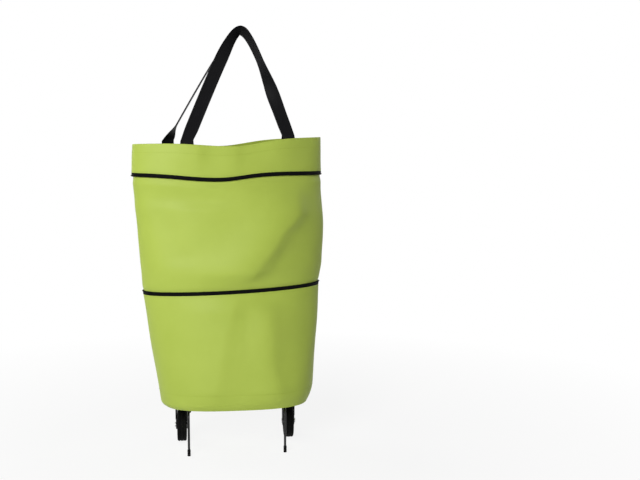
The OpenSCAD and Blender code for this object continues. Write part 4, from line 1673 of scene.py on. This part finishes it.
    def hub(self) -> None:
        """Builds the hub: a core, a web with spokes on both faces, and a rim that holds the tyre."""
        half, bore = self.wheel_w / 2, self.axle_d / 2 + 0.05
        core, rim, web = self.axle_d / 2 + self.core_t, self.wheel_d / 2 - self.tyre_t, self.web
        inner = rim - self.rim_t
        start = self._wheel
        left = [(bore, -half + 0.4), (bore + 0.4, -half), (core - 0.6, -half), (core, -half + 0.6),
                (core, -web - 0.8), (core + 0.8, -web), (inner - 0.8, -web), (inner, -web - 0.8),
                (inner, 1.5 - half), (inner + 0.5, 1 - half), (rim - 0.5, 1 - half), (rim, 1.5 - half)]
        profile = left + [(r, -x) for r, x in reversed(left)]
        work = Work()
        work.lathe(profile, start, Vector((1, 0, 0)), 72)
        for k in range(self.spokes):
            spin = Matrix.Rotation(TAU * k / self.spokes, 4, "X")
            turn = Matrix.Translation(start) @ spin @ Matrix.Translation(-start)
            for low, high in ((-half + 2.2, -web + 0.3), (web - 0.3, half - 2.2)):
                verts = work.bar(start + Vector((low, -1.5, core - 0.5)) * MM,
                                 start + Vector((high, 1.5, inner + 0.5)) * MM, 0.6 * MM)
                bmesh.ops.transform(work.bm, matrix=turn, verts=verts)
        self._settle(work, ("hub_moulded", "wheel", "black_plastic", "hub"), Finishes.PLASTIC)

    def tyre(self) -> None:
        """Builds the tyre: a rounded tread with two grooves and a fine mould line."""
        half, outer, inner = self.wheel_w / 2, self.wheel_d / 2, self.wheel_d / 2 - self.tyre_t + 0.02
        round_r = self.tread_round
        left = [(inner, -half + 0.6), (inner + 0.5, -half + 0.05), (inner + 1.2, -half),
                (outer - round_r - 0.6, -half)]
        for k in range(1, 8):
            turn = math.pi / 2 * k / 8
            left.append((outer - round_r + round_r * math.sin(turn),
                         -half + round_r - round_r * math.cos(turn)))
        left += [(outer, -5.2), (outer, -4.6), (outer - 0.35, -4.4), (outer - 0.9, -4.2), (outer - 0.9, -3.0),
                 (outer - 0.35, -2.8), (outer, -2.6), (outer, -0.25)]
        profile = left + [(outer + 0.02, 0.0)] + [(r, -x) for r, x in reversed(left)]
        work = Work()
        work.lathe(profile, self._wheel, Vector((1, 0, 0)), 120)
        self._settle(work, ("tyre_tread", "wheel", "tyre_rubber", "tyre"), Finishes.RUBBER, 50)

    def build(self) -> None:
        """Builds the leg unit."""
        self.wire()
        self.foot_cap()
        self.fork()
        self.hub()
        self.tyre()


@dataclass
class CarriedNodes:
    """The small rigid nodes that stay as they are and get a finish."""

    single: tuple[tuple[str, Finish], ...] = (
        ("base_board", Finishes.BOARD), ("base_rivets", Finishes.STEEL), ("rivet_washers", Finishes.STEEL))
    paired: tuple[tuple[str, Finish], ...] = (
        ("axle", Finishes.STEEL), ("axle_nut", Finishes.STEEL), ("wheel_washers", Finishes.STEEL),
        ("pivot_clips", Finishes.PLASTIC))

    def build(self) -> None:
        """Gives every carried node its finish."""
        pairs = [(f"{side.word}_{word}", finish) for word, finish in self.paired for side in Side]
        for name, finish in (*self.single, *pairs):
            mesh = frame["nodes"][name].data
            mesh.materials.clear()
            mesh.materials.append(finish.material())
            LOG.info("%s: %s", name, finish.name)


@dataclass
class Lamp:
    """A soft rectangular studio lamp, aimed at a point."""

    name: str
    place: tuple[float, float, float]
    size: float
    power: float
    aim: tuple[float, float, float] = (0.0, 0.0, 0.42)

    def build(self) -> None:
        """Hangs the lamp."""
        light = bpy.data.lights.new(self.name, "AREA")
        light.shape, light.size, light.energy = "SQUARE", self.size, self.power
        lamp = bpy.data.objects.new(self.name, light)
        way = Vector(self.aim) - Vector(self.place)
        lamp.location = self.place
        lamp.rotation_euler = way.to_track_quat("-Z", "Y").to_euler()
        bpy.context.scene.collection.objects.link(lamp)


@dataclass
class Studio:
    """A pale floor, soft lamps, a white surround and the camera."""

    eye: tuple[float, float, float] = (-0.0527, -1.9473, 0.6365)
    yaw: float = 7.17
    pitch: float = 5.52
    lens: float = 51.7
    ambient: float = 0.09
    floor_glow: float = 0.86
    lamps: tuple[Lamp, ...] = (
        Lamp("key_lamp", (-1.0, -2.35, 1.45), 1.2, 62.0),
        Lamp("left_back_lamp", (-1.9, 1.4, 1.5), 1.4, 22.0),
        Lamp("right_back_lamp", (1.9, 1.4, 1.5), 1.4, 9.0))

    def camera(self) -> None:
        """Sets the camera at the photograph's viewing angle."""
        lens = bpy.data.cameras.new("camera")
        lens.lens, lens.sensor_width, lens.clip_end = self.lens, 36.0, 60.0
        camera = bpy.data.objects.new("camera", lens)
        yaw, pitch = math.radians(self.yaw), math.radians(self.pitch)
        way = Vector((math.sin(yaw) * math.cos(pitch), math.cos(yaw) * math.cos(pitch), -math.sin(pitch)))
        camera.location = self.eye
        camera.rotation_euler = way.to_track_quat("-Z", "Y").to_euler()
        bpy.context.scene.collection.objects.link(camera)
        bpy.context.scene.camera = camera

    def _seen(self, shader: Shader) -> Value:
        """1 for the rays that show the surround: from the camera, off gloss or through glass.

        Args:
            shader: the node tree that asks.

        Returns:
            The share, 0 or 1.
        """
        rays = [shader.node("ShaderNodeLightPath", output=f"Is {kind} Ray")
                for kind in ("Camera", "Glossy", "Transmission")]
        return (rays[0] + rays[1] + rays[2]).math("MINIMUM", 1.0)

    def floor(self) -> None:
        """Lays the floor, which shows white and keeps a faint shadow."""
        shader = Shader(bpy.data.materials.new("studio_floor"))
        shader.set(Base_Color=(0.86, 0.86, 0.86, 1), Roughness=0.9, Specular_IOR_Level=0.1)
        glow = shader.node("ShaderNodeEmission", inputs={0: (1, 1, 1, 1), 1: 1.0})
        out = shader.tree.nodes["Material Output"]
        away = shader.node("ShaderNodeVectorMath", {"operation": "LENGTH"}, {0: shader.place()}, "Value")
        far = shader.ramp(away / 2, ((0.2, self.floor_glow), (0.65, 1.0)))
        mixed = shader.node("ShaderNodeMixShader", inputs={
            0: self._seen(shader) * far, 1: Value(shader, shader.surface.outputs[0]), 2: glow})
        shader.tree.links.new(mixed.socket, out.inputs["Surface"])
        work = Work()
        bmesh.ops.create_grid(work.bm, x_segments=8, y_segments=8, size=9.0)
        floor = work.piece("floor", [], outward=False)
        floor.data.materials.append(shader.owner)

    def surround(self) -> None:
        """Sets the world: white where it is seen, dim where it lights."""
        world = bpy.data.worlds.new("surround")
        bpy.context.scene.world = world
        shader = Shader(world, "Background")
        shader.set(Color=(1, 1, 1, 1), Strength=self._seen(shader) * (1 - self.ambient) + self.ambient)

    def build(self) -> None:
        """Builds the studio."""
        bpy.context.scene.view_settings.view_transform = "Standard"
        self.camera()
        self.floor()
        self.surround()
        for lamp in self.lamps:
            lamp.build()


def main() -> None:
    """Builds the studio and every part of the bag."""
    logging.basicConfig(level=logging.INFO, format="%(name)s: %(message)s")
    shape = BagShape()
    lower, upper = shape.levels[1], shape.levels[2]
    Studio().build()
    FabricShell(shape).build()
    hardware = ZipHardware(shape)
    ZipHalf(shape, "lower", lower, Body.BAG, hardware.coil_lift).build()
    ZipHalf(shape, "upper", upper, Body.TOP, -hardware.coil_lift).build()
    hardware.build()
    Handle(shape, Face.FRONT, Body.FRONT_STRAP, 214, 8, (25.5, -14.5), 220.5,
           ((41, 0.7, 1), (78, 0.18, 0.74))).build()
    Handle(shape, Face.REAR, Body.REAR_STRAP, 260, 11, (23, 14.5), 217,
           ((73, -0.05, 0.15), (80, 0.24, 0.7))).build()
    for side in Side:
        LegUnit(side).build()
    CarriedNodes().build()


if __name__ == "__main__":
    main()
